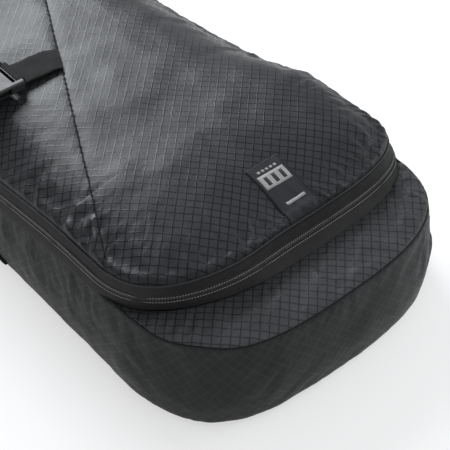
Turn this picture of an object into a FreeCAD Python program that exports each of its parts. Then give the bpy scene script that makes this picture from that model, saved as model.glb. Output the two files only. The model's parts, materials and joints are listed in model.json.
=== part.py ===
"""A padded bag for a snowboard, lying on its back, with a lid that a U-shaped zipper closes.

Millimetres. X runs across the bag, Y along it from tail (-Y) to head (+Y) and Z up. The origin is the
middle of the flat back face.
"""
import math
import os
from collections import namedtuple

import FreeCAD
import Part

V = FreeCAD.Vector

# Overall size
LENGTH = 1650.0
WIDTH = 360.0
CORNER_R = 104.0
HALF_L = LENGTH / 2
HALF_W = WIDTH / 2

# Layers
PIPING = 2.0
FABRIC = 1.5
FOAM = 5.0
BACK_FOAM = 8.0
LINING = 1.0
GUSSET_IN = PIPING
FOAM_IN = GUSSET_IN + FABRIC
LINING_IN = FOAM_IN + FOAM
CAVITY_IN = LINING_IN + LINING
FLOOR_Z = FABRIC + BACK_FOAM

# Height of the side wall's top edge: high at both ends, lower along the middle
END_RIM = 99.0
MID_RIM = 81.0
DIP_OUTER = 625.0
DIP_INNER = 425.0
SEAM_OVERLAP = 8.0

# The tail deck, the head deck and the sewn cords at their edges
TAIL_DECK_END_Y = -675.0
DECK_HOLE_TAIL_IN = 68.0
HEAD_CORD_Y = 690.0
DECK_FOAM = 4.0
CORD = 4.0
BASE_CORD_Z = 2.5

# The zipper runs round the tail and up both sides to the lid's fold
COIL_RISE = 14.0
LID_EDGE_RISE = 31.0
COIL_GAP = 0.6
COIL_H = 2.9
COIL_THICK = 3.5
ZIP_THICK = 1.5
HINGE_Y = 660.0
HINGE_Z = END_RIM + COIL_RISE
LEG_END = HINGE_Y - 20
SLOPE_START_Y = LEG_END + 1
LEG_FREE_HALF_W = 140.0
TAPE_OVERLAP = 3.0
STOP_W, STOP_GAP, STOP_H = 6.0, 0.2, 5.0
FOLD_GAP = 0.5

# The lid's dome, level by level: its height, how far it stands in from the bag's sides, tail and head, and
# the radii of its corners at the tail and the head
Level = namedtuple("Level", "z side_in tail_in head_in tail_r head_r")
BAND_SIDE_IN = 3.5
DECK_HOLE_TAIL_R = 112.0
HEAD_CORNER_R = 14.0
DOME = [
    Level(70.0, BAND_SIDE_IN, tail_in=64.0, head_in=168.0, tail_r=DECK_HOLE_TAIL_R, head_r=HEAD_CORNER_R),
    Level(END_RIM, BAND_SIDE_IN, tail_in=70.0, head_in=168.0, tail_r=DECK_HOLE_TAIL_R, head_r=HEAD_CORNER_R),
    Level(113.0, 5.0, tail_in=83.0, head_in=169.0, tail_r=100.0, head_r=HEAD_CORNER_R),
    Level(130.0, 9.0, tail_in=88.0, head_in=205.0, tail_r=72.0, head_r=20.0),
    Level(150.0, 36.0, tail_in=130.0, head_in=265.0, tail_r=64.0, head_r=40.0),
    Level(156.0, 62.0, tail_in=170.0, head_in=305.0, tail_r=60.0, head_r=50.0),
    Level(160.0, 100.0, tail_in=230.0, head_in=365.0, tail_r=50.0, head_r=50.0),
]

# The lid's open end at the fold, its layers' margins and its trims
FOLD_HALF_W = 160.0
FOLD_START_Y = 590.0
LINING_FOLD_HALF_W = 138.0
LINING_FOLD_START_Y = 580.0
LINING_FOLD_RISE, LINING_EDGE_RISE = 2.0, 4.0
APEX_IN = 8.0
BINDING_END_Y = 600.0
BINDING_BELOW, BINDING_ABOVE = 1.5, 2.5
TRIM_T = 0.6
SEAM_TAPE_HALF_W = 4.0
SEAM_TAPE_HALF_X, SEAM_TAPE_END_Y = 140.0, 640.0
LABEL_X = (-3.0, 38.0)
LABEL_Y = (-740.0, -662.0)
LABEL_Z = (134.0, 153.0)

# The diagonal lid seams and the compression straps that leave them
SEAM_SLOPE = 1.97
SEAM_X = -36.5
STRAP_Y = 412.0
STRAP_Z = 163.4
WEB_W = 38.0
WEB_T = 1.6
BAR_X = -96.0
APEX_X = HALF_W - APEX_IN
APEX_Y = -STRAP_Y + SEAM_SLOPE * (APEX_X - SEAM_X)
SEAM_END_Y = STRAP_Y + SEAM_SLOPE * (HALF_W + SEAM_X)
WEB_GAP = 0.3
LOOP_T, LOOP_FRONT_T = 1.2, 1.7
LOOP_BACK, LOOP_FRONT, LOOP_HALF_H = 7.0, 2.0, 4.4
ADJUST_RISE = 5.1
ADJUST_BACK, ADJUST_FRONT = 7.0, 5.0
BEND_EASE = 0.6
ADJUST_BEND = (-174.8, 150.0)
ADJUST_END = (-177.6, 118.0)

# The side-release buckles. X runs from the mouth of the female half, and every part is centred in Y and Z
BUCKLE_LIFT = 3.2
FEMALE_L, FEMALE_HALF_W, FEMALE_HALF_H, FEMALE_ROUND = 46.0, 25.0, 5.6, 2.4
MOUTH_DEPTH, MOUTH_HALF_W, MOUTH_HALF_H = 31.0, 21.0, 3.6
SIDE_WINDOW_X, SIDE_WINDOW_HALF_H = (12.0, 30.0), 3.2
FACE_WINDOW_X, FACE_WINDOW_HALF_W = (14.0, 19.0), 7.0
WEB_SLOT_HALF_W = 19.5
FEMALE_SLOT_X = (35.0, 40.5)
FEMALE_BAR_HALF_H = 3.0
MALE_BACK, MALE_FRONT, MALE_HALF_W, MALE_HALF_H, MALE_ROUND = -25.0, -0.4, 24.0, 5.0, 2.2
MALE_SLOTS_X = ((-9.0, -5.0), (-19.0, -13.0))
MALE_ROOT_X = -1.0
ARM_END_X, ARM_IN, ARM_OUT, ARM_HALF_H = 29.0, 13.0, 20.4, 2.8
GUIDE_END_X, GUIDE_HALF_W, GUIDE_HALF_H = 26.0, 3.0, 2.6
MALE_BAR_X = -19.2

# Zipper sliders on the left leg
SLIDER_Y = 225.0
SLIDER_L = 20.0
SLIDER_H = 13.0
PLATE_T = 1.6
PLATE_GAP_OUT, PLATE_GAP_IN = 0.6, 1.0
POST_L, POST_INSET, POST_HALF_H, POST_SINK = 4.0, 1.0, 0.3, 0.1
BRIDGE_OUT, BRIDGE_HALF_L, BRIDGE_HALF_H = 4.2, 6.0, 2.0
BRIDGE_HOLE_OUT, BRIDGE_HOLE_IN, BRIDGE_HOLE_HALF_L = 3.0, 0.2, 1.7
PIN_OUT, PIN_R, PIN_L = 1.6, 1.0, 10.0
PULL_HALF_T, PULL_HALF_W = 0.9, 5.0
PULL_ARM_L, PULL_ARM_IN = 9.0, 2.5
TONGUE_START, TONGUE_END = 7.5, 26.0
TONGUE_HOLE, TONGUE_HOLE_HALF_W = (19.0, 24.0), 3.0
GRIP_START, GRIP_END, GRIP_HALF_T, GRIP_HALF_W, GRIP_ROUND = 22.0, 64.0, 2.0, 5.5, 1.8
PAIR_GAP = 0.4

# Carrying handles on the side walls and the head wall
HANDLE_Z = 62.0
HANDLE_SPAN = 240.0
HEAD_HANDLE_SPAN = 110.0
HANDLE_DROP = 46.0
HANDLE_STRIP_W, HANDLE_STRIP_HALF_T, HANDLE_BEND_R = 12.0, 1.5, 22.0
HANDLE_GAP = 0.5
SLEEVE_SHARE, SLEEVE_HALF_T, SLEEVE_ROUND = 0.29, 3.6, 3.0
SLEEVE_BELOW, SLEEVE_ABOVE = 3.0, 15.0
PATCH_HALF_W, PATCH_BELOW, PATCH_ABOVE, PATCH_GAP = 14.0, 12.0, 24.0, 0.4

# Webbing tabs in the base seam
TAB_Y = 479.0
TAB_OUT = 5.0
TAB_Z = (7.0, 10.0)

# Past everything in the plan, and above everything
FAR = 1000.0
HIGH = 300.0
PAST = 1.0
EDGE_TOLERANCE = 0.1

os.makedirs("parts", exist_ok=True)


def save(name, shape):
    if not shape.isValid():
        shape.fix(0.001, 0.001, 0.001)
    print(f"{name:22s} {len(shape.Solids)} solids, {shape.Volume / 1000:8.1f} cm3, valid {shape.isValid()}")
    shape.exportStep(f"parts/{name}.step")


def box(x0, x1, y0, y1, z0, z1):
    return Part.makeBox(x1 - x0, y1 - y0, z1 - z0, V(x0, y0, z0))


def centred(x0, x1, half_y, half_z):
    """A box that is centred in Y and Z."""
    return box(x0, x1, -half_y, half_y, -half_z, half_z)


def outline(z, side, tail, head, tail_r, head_r):
    """A rounded rectangle, set in from the bag's sides, tail and head."""
    x, y0, y1 = HALF_W - side, tail - HALF_L, HALF_L - head
    kt, kh = tail_r * (1 - math.sqrt(0.5)), head_r * (1 - math.sqrt(0.5))
    ends = [
        (V(x, y0 + tail_r, z), V(x, y1 - head_r, z), V(x - kh, y1 - kh, z), V(x - head_r, y1, z)),
        (V(x - head_r, y1, z), V(head_r - x, y1, z), V(kh - x, y1 - kh, z), V(-x, y1 - head_r, z)),
        (V(-x, y1 - head_r, z), V(-x, y0 + tail_r, z), V(kt - x, y0 + kt, z), V(tail_r - x, y0, z)),
        (V(tail_r - x, y0, z), V(x - tail_r, y0, z), V(x - kt, y0 + kt, z), V(x, y0 + tail_r, z)),
    ]
    edges = []
    for start, turn, middle, stop in ends:
        edges.append(Part.makeLine(start, turn))
        edges.append(Part.Arc(turn, middle, stop).toShape())
    return Part.Wire(edges)


def slab(inset, z0, z1):
    """The bag's plan, set in all round, between two heights."""
    radius = CORNER_R - inset
    face = Part.Face(outline(z0, inset, inset, inset, radius, radius))
    return face.extrude(V(0, 0, z1 - z0))


def ring(outer, inner, z0, z1):
    return slab(outer, z0, z1).cut(slab(inner, z0 - 1, z1 + 1))


def dome(offset):
    """The lid's outer form, shrunk by an offset (grown by a negative one) square to its side's slope."""
    wires = []
    for i, level in enumerate(DOME):
        below, above = DOME[max(i - 1, 0)], DOME[min(i + 1, len(DOME) - 1)]
        rise, run = above.z - below.z, above.side_in - below.side_in
        inward, down = offset * rise / math.hypot(rise, run), offset * run / math.hypot(rise, run)
        if above == level:
            inward, down = 0, offset
        insets = (level.side_in + inward, level.tail_in + inward, level.head_in + inward)
        wires.append(outline(level.z - down, *insets, level.tail_r - inward, level.head_r - inward))
    return Part.makeLoft(wires, True, True)


def dip(z_end, z_middle, y_sign):
    """The two tangent arcs by which the rim falls from an end to the middle, listed from low Y to high Y."""
    y0, y1 = sorted((y_sign * DIP_OUTER, y_sign * DIP_INNER))
    z0, z1 = (z_end, z_middle) if y_sign < 0 else (z_middle, z_end)
    ym, zm, drop = (y0 + y1) / 2, (z0 + z1) / 2, z1 - z0
    radius = ((y1 - y0) ** 2 + drop**2) / (4 * abs(drop))
    turn = math.asin((ym - y0) / radius) / 2
    sagitta = math.copysign(radius * (1 - math.cos(turn)), drop)
    run = radius * math.sin(turn)
    first = Part.Arc(V(0, y0, z0), V(0, y0 + run, z0 + sagitta), V(0, ym, zm)).toShape()
    second = Part.Arc(V(0, ym, zm), V(0, y1 - run, z1 - sagitta), V(0, y1, z1)).toShape()
    return [first, second]


def band(low, high):
    """Everything between two heights above the rim, which follow the rim's dips."""

    def line(rise):
        ends, mid = END_RIM + rise, MID_RIM + rise
        return (
            [Part.makeLine(V(0, -FAR, ends), V(0, -DIP_OUTER, ends))]
            + dip(ends, mid, -1)
            + [Part.makeLine(V(0, -DIP_INNER, mid), V(0, DIP_INNER, mid))]
            + dip(ends, mid, 1)
            + [Part.makeLine(V(0, DIP_OUTER, ends), V(0, FAR, ends))]
        )

    side_low = Part.makeLine(V(0, -FAR, END_RIM + low), V(0, -FAR, END_RIM + high))
    side_high = Part.makeLine(V(0, FAR, END_RIM + low), V(0, FAR, END_RIM + high))
    wire = Part.Wire(Part.__sortEdges__(line(low) + line(high) + [side_low, side_high]))
    return Part.Face(wire).extrude(V(2 * FAR, 0, 0)).translated(V(-FAR, 0, 0))


def prism_x(points, x0, x1):
    """A polygon of (y, z) points, extruded across the bag."""
    wire = Part.makePolygon([V(x0, y, z) for y, z in points + points[:1]])
    return Part.Face(wire).extrude(V(x1 - x0, 0, 0))


def prism_y(points, y0, y1):
    """A polygon of (x, z) points, extruded along the bag."""
    wire = Part.makePolygon([V(x, y0, z) for x, z in points + points[:1]])
    return Part.Face(wire).extrude(V(0, y1 - y0, 0))


def prism_z(points, z0, z1):
    wire = Part.makePolygon([V(x, y, z0) for x, y in points + points[:1]])
    return Part.Face(wire).extrude(V(0, 0, z1 - z0))


def below_wall_top(rise):
    """The space below the side wall's top edge, which climbs to the lid's fold at the head."""
    low = band(-HIGH, rise).common(box(-FAR, FAR, -FAR, SLOPE_START_Y, -FAR, FAR))
    slope = [
        (SLOPE_START_Y, -END_RIM),
        (HALF_L, -END_RIM),
        (HALF_L, END_RIM + rise),
        (SLOPE_START_Y, HINGE_Z - FABRIC + rise),
    ]
    return low.fuse(prism_x(slope, -FAR, FAR))


# Back, walls and lining
def tub():
    save("back_panel", slab(FOAM_IN, 0, FABRIC))
    save("back_foam", slab(FOAM_IN, FABRIC, FLOOR_Z))
    split = HALF_L - CORNER_R - 20
    quarters = {
        "tail": box(-FAR, FAR, -FAR, -split, -FAR, FAR),
        "head": box(-FAR, FAR, split, FAR, -FAR, FAR),
        "left": box(-FAR, 0, -split, split, -FAR, FAR),
        "right": box(0, FAR, -split, split, -FAR, FAR),
    }
    skin = ring(GUSSET_IN, FOAM_IN, 0, HIGH).common(below_wall_top(0))
    foam_top = below_wall_top(-SEAM_OVERLAP - 1)
    foam = ring(FOAM_IN, LINING_IN, FLOOR_Z, HIGH).common(foam_top)
    for name, region in quarters.items():
        save(f"gusset_{name}", skin.common(region))
        save(f"wall_foam_{name}", foam.common(region))
    walls = ring(LINING_IN, CAVITY_IN, FLOOR_Z, HIGH).common(foam_top)
    save("tub_lining", walls.fuse(slab(CAVITY_IN, FLOOR_Z, FLOOR_Z + LINING)))
    save("base_piping", ring(0, PIPING, BASE_CORD_Z, BASE_CORD_Z + CORD))


def deck_height(y):
    """The head deck's top, which falls from the lid's fold to the head."""
    fall = HINGE_Z - FABRIC - END_RIM
    return END_RIM + fall * (HALF_L - y) / (HALF_L - SLOPE_START_Y)


def deck_strip(y0, low, high):
    """A strip between two heights above the head deck's top, from y0 to the head end, across the bag."""
    corners = [(y0, deck_height(y0) + low), (HALF_L, END_RIM + low)]
    corners += [(HALF_L, END_RIM + high), (y0, deck_height(y0) + high)]
    return prism_x(corners, -FAR, FAR)


def decks():
    """The fixed top panels beyond the zipper at the tail and beyond the lid's fold at the head."""
    tail_end = box(-FAR, FAR, -FAR, TAIL_DECK_END_Y, 0, HIGH)
    hole_line = outline(0, BAND_SIDE_IN - PAST, DECK_HOLE_TAIL_IN, 0, DECK_HOLE_TAIL_R, HEAD_CORNER_R)
    hole = Part.Face(hole_line).extrude(V(0, 0, HIGH))
    save("tail_deck", slab(FOAM_IN, END_RIM - FABRIC, END_RIM).cut(hole).common(tail_end))
    save("tail_piping", ring(GUSSET_IN, GUSSET_IN + CORD, END_RIM, END_RIM + CORD).common(tail_end))
    fold_y = HINGE_Y + FOLD_GAP
    save("head_deck", slab(FOAM_IN, 0, HIGH).common(deck_strip(fold_y, -FABRIC, 0)))
    save("head_deck_foam", slab(LINING_IN, 0, HIGH).common(deck_strip(fold_y, -FABRIC - DECK_FOAM, -FABRIC)))
    save("head_piping", ring(GUSSET_IN, GUSSET_IN + CORD, 0, HIGH).common(deck_strip(HEAD_CORD_Y, 0, CORD)))


def zipper():
    between_legs = box(-LEG_FREE_HALF_W, LEG_FREE_HALF_W, HIGH, FAR, 0, HIGH)
    legs = box(-FAR, FAR, -FAR, LEG_END, 0, HIGH).cut(between_legs)
    tape = dome(FABRIC).cut(dome(FABRIC + ZIP_THICK)).common(legs)
    coil = dome(FABRIC).cut(dome(FABRIC + COIL_THICK)).common(legs)
    below, above = COIL_RISE - COIL_GAP, COIL_RISE + COIL_GAP
    save("zipper_tape_lower", tape.common(band(-SEAM_OVERLAP, below - COIL_H)))
    save("zipper_coil_lower", coil.common(band(below - COIL_H, below)))
    save("zipper_coil_upper", coil.common(band(above, above + COIL_H)))
    save("zipper_tape_upper", tape.common(band(above + COIL_H, LID_EDGE_RISE + TAPE_OVERLAP)))
    side_x = HALF_W - BAND_SIDE_IN
    for name, x in (("left", -side_x), ("right", side_x - STOP_W)):
        stop = box(x, x + STOP_W, LEG_END + STOP_GAP, LEG_END + STOP_W, HINGE_Z - STOP_H, HINGE_Z - COIL_GAP)
        save(f"zipper_stop_{name}", stop)


def lid_panels():
    fold_end = box(-FOLD_HALF_W, FOLD_HALF_W, FOLD_START_Y, FAR, HINGE_Z + COIL_GAP, HIGH)
    cover = dome(0).cut(dome(FABRIC)).common(band(LID_EDGE_RISE, HIGH).fuse(fold_end))
    corners = [(-HALF_W, -SEAM_END_Y), (APEX_X, APEX_Y), (APEX_X, -APEX_Y), (-HALF_W, SEAM_END_Y)]
    middle = prism_z(corners, 0, HIGH)
    save("lid_panel_middle", cover.common(middle))
    rest = cover.cut(middle)
    save("lid_panel_tail", rest.common(box(-FAR, FAR, -FAR, 0, 0, HIGH)))
    save("lid_panel_head", rest.common(box(-FAR, FAR, 0, FAR, 0, HIGH)))


def lid_layers():
    half_w = LINING_FOLD_HALF_W
    fold_end = box(-half_w, half_w, LINING_FOLD_START_Y, FAR, HINGE_Z + LINING_FOLD_RISE, HIGH)
    inside = band(LID_EDGE_RISE + LINING_EDGE_RISE, HIGH).fuse(fold_end)
    save("lid_foam", dome(FABRIC).cut(dome(FABRIC + FOAM)).common(inside))
    save("lid_lining", dome(FABRIC + FOAM).cut(dome(FABRIC + FOAM + LINING)).common(inside))


def lid_trims():
    """The edge binding above the zipper, the raised strips along the diagonal seams and the label."""
    legs = box(-FAR, FAR, -FAR, BINDING_END_Y, 0, HIGH)
    edge = band(LID_EDGE_RISE - BINDING_BELOW, LID_EDGE_RISE + BINDING_ABOVE)
    save("lid_edge_binding", dome(-FABRIC).cut(dome(0)).common(legs).common(edge))
    skin = dome(-TRIM_T).cut(dome(0))
    shift = SEAM_TAPE_HALF_W * math.hypot(1, SEAM_SLOPE)
    for name, sign in (("tail", -1), ("head", 1)):
        corners = [
            (-HALF_W, sign * (SEAM_END_Y - shift)),
            (APEX_X, sign * (-APEX_Y - shift)),
            (APEX_X, sign * (-APEX_Y + shift)),
            (-HALF_W, sign * (SEAM_END_Y + shift)),
        ]
        y0, y1 = sorted((0, sign * SEAM_TAPE_END_Y))
        half = box(-SEAM_TAPE_HALF_X, SEAM_TAPE_HALF_X, y0, y1, 0, HIGH)
        save(f"seam_tape_{name}", skin.common(prism_z(corners, 0, HIGH)).common(half))
    save("label", skin.common(box(*LABEL_X, *LABEL_Y, *LABEL_Z)))


def lid():
    lid_panels()
    lid_layers()
    lid_trims()


def round_long_edges(body, length, radius):
    return body.makeFillet(radius, [e for e in body.Edges if abs(e.Length - length) < EDGE_TOLERANCE])


def buckle_half_female():
    """The half on the fixed webbing, about the middle of its mouth, with its bar towards +X."""
    body = round_long_edges(centred(0, FEMALE_L, FEMALE_HALF_W, FEMALE_HALF_H), FEMALE_L, FEMALE_ROUND)
    mouth = centred(-PAST, MOUTH_DEPTH, MOUTH_HALF_W, MOUTH_HALF_H)
    side_windows = centred(*SIDE_WINDOW_X, FEMALE_HALF_W + PAST, SIDE_WINDOW_HALF_H)
    face_window = box(*FACE_WINDOW_X, -FACE_WINDOW_HALF_W, FACE_WINDOW_HALF_W, 0, FEMALE_HALF_H + PAST)
    slot = centred(*FEMALE_SLOT_X, WEB_SLOT_HALF_W, FEMALE_HALF_H + PAST)
    bar_space = centred(FEMALE_SLOT_X[1], FEMALE_L + PAST, WEB_SLOT_HALF_W, FEMALE_HALF_H + PAST)
    bar = centred(FEMALE_SLOT_X[1], FEMALE_L + PAST, WEB_SLOT_HALF_W, FEMALE_BAR_HALF_H)
    return body.cut(mouth.fuse(side_windows)).cut(face_window.fuse(slot)).cut(bar_space.cut(bar))


def buckle_half_male():
    """The half with the two arms and the centre guide, which point to +X into the other half's mouth."""
    base = centred(MALE_BACK, MALE_FRONT, MALE_HALF_W, MALE_HALF_H)
    base = round_long_edges(base, MALE_FRONT - MALE_BACK, MALE_ROUND)
    for x0, x1 in MALE_SLOTS_X:
        base = base.cut(centred(x0, x1, WEB_SLOT_HALF_W, MALE_HALF_H + PAST))
    for y0, y1 in ((ARM_IN, ARM_OUT), (-ARM_OUT, -ARM_IN)):
        base = base.fuse(box(MALE_ROOT_X, ARM_END_X, y0, y1, -ARM_HALF_H, ARM_HALF_H))
    return base.fuse(centred(MALE_ROOT_X, GUIDE_END_X, GUIDE_HALF_W, GUIDE_HALF_H))


def adjusting_webbing(bar_x, buckle_z):
    """The webbing's outline, as (x, z) points, from the male half's bar down to the lid's edge."""
    low, high = buckle_z + ADJUST_RISE, buckle_z + ADJUST_RISE + WEB_T
    (bend_x, bend_z), (end_x, end_z) = ADJUST_BEND, ADJUST_END
    return [
        (bar_x + ADJUST_FRONT, low),
        (bar_x + ADJUST_FRONT, high),
        (bar_x - ADJUST_BACK, high),
        (bend_x, bend_z),
        (end_x, end_z),
        (end_x + WEB_T, end_z),
        (bend_x + WEB_T, bend_z),
        (bar_x - ADJUST_BACK + BEND_EASE, low),
    ]


def straps():
    mouth_x = BAR_X - FEMALE_L
    buckle_z = STRAP_Z + BUCKLE_LIFT
    half_web = WEB_W / 2
    for name, y in (("tail", -STRAP_Y), ("head", STRAP_Y)):
        place = V(mouth_x, y, buckle_z)
        save(f"buckle_female_{name}", buckle_half_female().translated(place))
        save(f"buckle_male_{name}", buckle_half_male().translated(place))
        loop = centred(BAR_X - LOOP_BACK, BAR_X + LOOP_FRONT, half_web, LOOP_HALF_H)
        hole_x = (BAR_X - LOOP_BACK + LOOP_T, BAR_X + LOOP_FRONT - LOOP_FRONT_T)
        loop = loop.cut(centred(*hole_x, half_web + PAST, LOOP_HALF_H - LOOP_T))
        save(f"strap_loop_{name}", loop.translated(V(0, y, buckle_z)))
        end = BAR_X + LOOP_FRONT + WEB_GAP
        fixed = box(end, SEAM_X, y - half_web, y + half_web, STRAP_Z - WEB_T / 2, STRAP_Z + WEB_T / 2)
        save(f"strap_fixed_{name}", fixed)
        path = adjusting_webbing(mouth_x + MALE_BAR_X, buckle_z)
        save(f"strap_adjust_{name}", prism_y(path, y - half_web, y + half_web))


def slider_parts():
    """A slider and its pull, with the coil's height at z 0 and the wall's outer side towards -X."""
    tape_x = -HALF_W + BAND_SIDE_IN + FABRIC
    out, back = tape_x - PLATE_GAP_OUT, tape_x + COIL_THICK + PLATE_GAP_IN
    plate_out = out - PLATE_T
    half_l, half_h = SLIDER_L / 2, SLIDER_H / 2
    front = centred(plate_out, out, half_l, half_h)
    rear = centred(back, back + PLATE_T, half_l, half_h)
    post_y = half_l - POST_INSET
    post = box(out - POST_SINK, back + POST_SINK, post_y - POST_L, post_y, -POST_HALF_H, POST_HALF_H)
    bridge = centred(plate_out - BRIDGE_OUT, plate_out, BRIDGE_HALF_L, BRIDGE_HALF_H)
    hole_x = (plate_out - BRIDGE_HOLE_OUT, plate_out - BRIDGE_HOLE_IN)
    bridge = bridge.cut(centred(*hole_x, BRIDGE_HOLE_HALF_L, BRIDGE_HALF_H + PAST))
    slider = front.fuse(rear).fuse(post).fuse(bridge)
    pivot_x = plate_out - PIN_OUT
    pull, grip = pull_tab(pivot_x)
    return slider, pull, grip


def pull_tab(pivot_x):
    """The metal tab that swings on its pin, and the moulded grip on its end."""
    pull = Part.makeCylinder(PIN_R, PIN_L, V(pivot_x, 0, -PIN_L / 2))
    x0, x1 = pivot_x - PULL_HALF_T, pivot_x + PULL_HALF_T
    for z0, z1 in ((PULL_ARM_IN, PULL_HALF_W), (-PULL_HALF_W, -PULL_ARM_IN)):
        pull = pull.fuse(box(x0, x1, -PULL_ARM_L, 0, z0, z1))
    tongue = box(x0, x1, -TONGUE_END, -TONGUE_START, -PULL_HALF_W, PULL_HALF_W)
    hole_start, hole_end = TONGUE_HOLE
    half_w = TONGUE_HOLE_HALF_W
    pull = pull.fuse(tongue.cut(box(x0 - PAST, x1 + PAST, -hole_end, -hole_start, -half_w, half_w)))
    x0, x1 = pivot_x - GRIP_HALF_T, pivot_x + GRIP_HALF_T
    grip = box(x0, x1, -GRIP_END, -GRIP_START, -GRIP_HALF_W, GRIP_HALF_W)
    return pull, grip.makeFillet(GRIP_ROUND, grip.Edges).cut(pull)


def sliders():
    names = ("slider", "pull", "pull_grip")
    coil_z = MID_RIM + COIL_RISE
    for name, sign in (("tail", 1), ("head", -1)):
        y = -SLIDER_Y - sign * (SLIDER_L / 2 + PAIR_GAP)
        for part, shape in zip(names, slider_parts()):
            turned = shape if sign > 0 else shape.mirror(V(0, 0, 0), V(0, 1, 0))
            save(f"{part}_{name}", turned.translated(V(0, y, coil_z)))


def low_edges(body, length, z):
    """The edges of a length that lie at a height or below it."""
    return [e for e in body.Edges if abs(e.Length - length) < EDGE_TOLERANCE and e.BoundBox.ZMin < z + PAST]


def handle_loop(span):
    """A webbing handle in the YZ plane that hangs from a line along Y at the origin."""
    half, strip, half_t = span / 2, HANDLE_STRIP_W, HANDLE_STRIP_HALF_T
    outer = box(-half_t, half_t, -half - strip / 2, half + strip / 2, -HANDLE_DROP, 0)
    outer = outer.makeFillet(HANDLE_BEND_R, low_edges(outer, 2 * half_t, -HANDLE_DROP))
    top, bottom = strip, strip - HANDLE_DROP
    inner = box(-2 * half_t, 2 * half_t, -half + strip / 2, half - strip / 2, bottom, top)
    inner = inner.makeFillet(HANDLE_BEND_R - strip, low_edges(inner, 4 * half_t, bottom))
    return outer.cut(inner)


def handle_grip(span, loop):
    half = span * SLEEVE_SHARE
    z0, z1 = -HANDLE_DROP - SLEEVE_BELOW, -HANDLE_DROP + SLEEVE_ABOVE
    grip = box(-SLEEVE_HALF_T, SLEEVE_HALF_T, -half, half, z0, z1)
    return round_long_edges(grip, 2 * half, SLEEVE_ROUND).cut(loop)


def handles():
    """Webbing handles on the left, right and head walls: two sewn patches, a swinging loop and its grip."""
    stand_off = HANDLE_STRIP_HALF_T + HANDLE_GAP
    for name, span, turn, offset in (
        ("left", HANDLE_SPAN, 180, HALF_W),
        ("right", HANDLE_SPAN, 0, HALF_W),
        ("head", HEAD_HANDLE_SPAN, 90, HALF_L),
    ):
        loop = handle_loop(span)
        patch_x = (-GUSSET_IN - stand_off, -stand_off - PATCH_GAP)
        patches = [
            box(*patch_x, end - PATCH_HALF_W, end + PATCH_HALF_W, -PATCH_BELOW, PATCH_ABOVE)
            for end in (-span / 2, span / 2)
        ]
        for part, shape in (
            ("handle_strap", loop),
            ("handle_grip", handle_grip(span, loop)),
            ("handle_patches", patches[0].fuse(patches[1])),
        ):
            moved = shape.translated(V(offset + stand_off, 0, HANDLE_Z))
            save(f"{part}_{name}", moved.rotated(V(0, 0, 0), V(0, 0, 1), turn))


def base_tabs():
    """Folded webbing tabs that stick out of the base seam on both sides."""
    tabs = []
    for side in (-1, 1):
        x0, x1 = sorted((side * (HALF_W - PIPING), side * (HALF_W + TAB_OUT)))
        for y in (-TAB_Y, TAB_Y):
            tabs.append(box(x0, x1, y - WEB_W / 2, y + WEB_W / 2, *TAB_Z))
    save("base_tabs", Part.makeCompound(tabs))


tub()
decks()
zipper()
lid()
straps()
sliders()
handles()
base_tabs()
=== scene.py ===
import json
import math

import bmesh
import bpy
import numpy as np
from mathutils import Matrix, Vector
from mathutils.bvhtree import BVHTree


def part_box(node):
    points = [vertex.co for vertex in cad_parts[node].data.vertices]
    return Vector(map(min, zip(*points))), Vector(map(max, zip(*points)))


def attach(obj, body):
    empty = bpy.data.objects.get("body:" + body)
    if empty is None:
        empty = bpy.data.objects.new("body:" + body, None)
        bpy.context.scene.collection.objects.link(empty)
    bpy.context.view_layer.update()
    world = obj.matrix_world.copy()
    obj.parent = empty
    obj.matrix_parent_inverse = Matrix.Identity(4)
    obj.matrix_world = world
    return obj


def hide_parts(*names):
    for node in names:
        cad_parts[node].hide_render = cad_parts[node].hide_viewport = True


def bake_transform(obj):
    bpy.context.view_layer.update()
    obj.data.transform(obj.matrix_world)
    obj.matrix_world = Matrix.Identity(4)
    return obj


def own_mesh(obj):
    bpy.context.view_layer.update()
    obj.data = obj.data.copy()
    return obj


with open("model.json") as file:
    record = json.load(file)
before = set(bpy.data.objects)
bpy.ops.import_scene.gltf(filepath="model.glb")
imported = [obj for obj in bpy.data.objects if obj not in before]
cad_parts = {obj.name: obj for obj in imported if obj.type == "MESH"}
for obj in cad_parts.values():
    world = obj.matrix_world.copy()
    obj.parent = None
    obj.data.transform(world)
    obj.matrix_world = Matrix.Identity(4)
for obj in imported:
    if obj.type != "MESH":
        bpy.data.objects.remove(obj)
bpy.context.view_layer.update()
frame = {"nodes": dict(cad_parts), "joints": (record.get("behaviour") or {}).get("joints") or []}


def box_mm(node):
    lo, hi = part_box(node)
    return np.array(lo) * 1000, np.array(hi) * 1000


# Sizes that the frame gives
HALF_W, HALF_L = box_mm("base_piping")[1][:2]
RIM_END = box_mm("tail_deck")[1][2]
EDGE_MID, TOP = box_mm("lid_panel_middle")[0][2], box_mm("lid_panel_tail")[1][2]
HINGE = np.array(next(j["pos_m"] for j in frame["joints"] if j["name"] == "lid_hinge")) * 1000
STRAP_LO, STRAP_HI = box_mm("strap_fixed_tail")
STRAP_Y = abs(STRAP_LO[1] + STRAP_HI[1]) / 2
STRAP_Z = (STRAP_LO[2] + STRAP_HI[2]) / 2
SEAM_X = STRAP_HI[0]
WEB_HALF = (STRAP_HI[1] - STRAP_LO[1]) / 2
LABEL_LO, LABEL_HI = box_mm("label")
LEG_TOP = box_mm("zipper_coil_lower")[1][1]

# Heights above the rim of the wall, where the rim dips from the ends to the middle, and the slope in plan
# of the lid's diagonal seams
EDGE_RISE, COIL_RISE = 31.0, 14.0
RIM_MID = EDGE_MID - EDGE_RISE
DIP_OUTER, DIP_INNER = 625.0, 425.0
SEAM_SLOPE = 1.97

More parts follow.
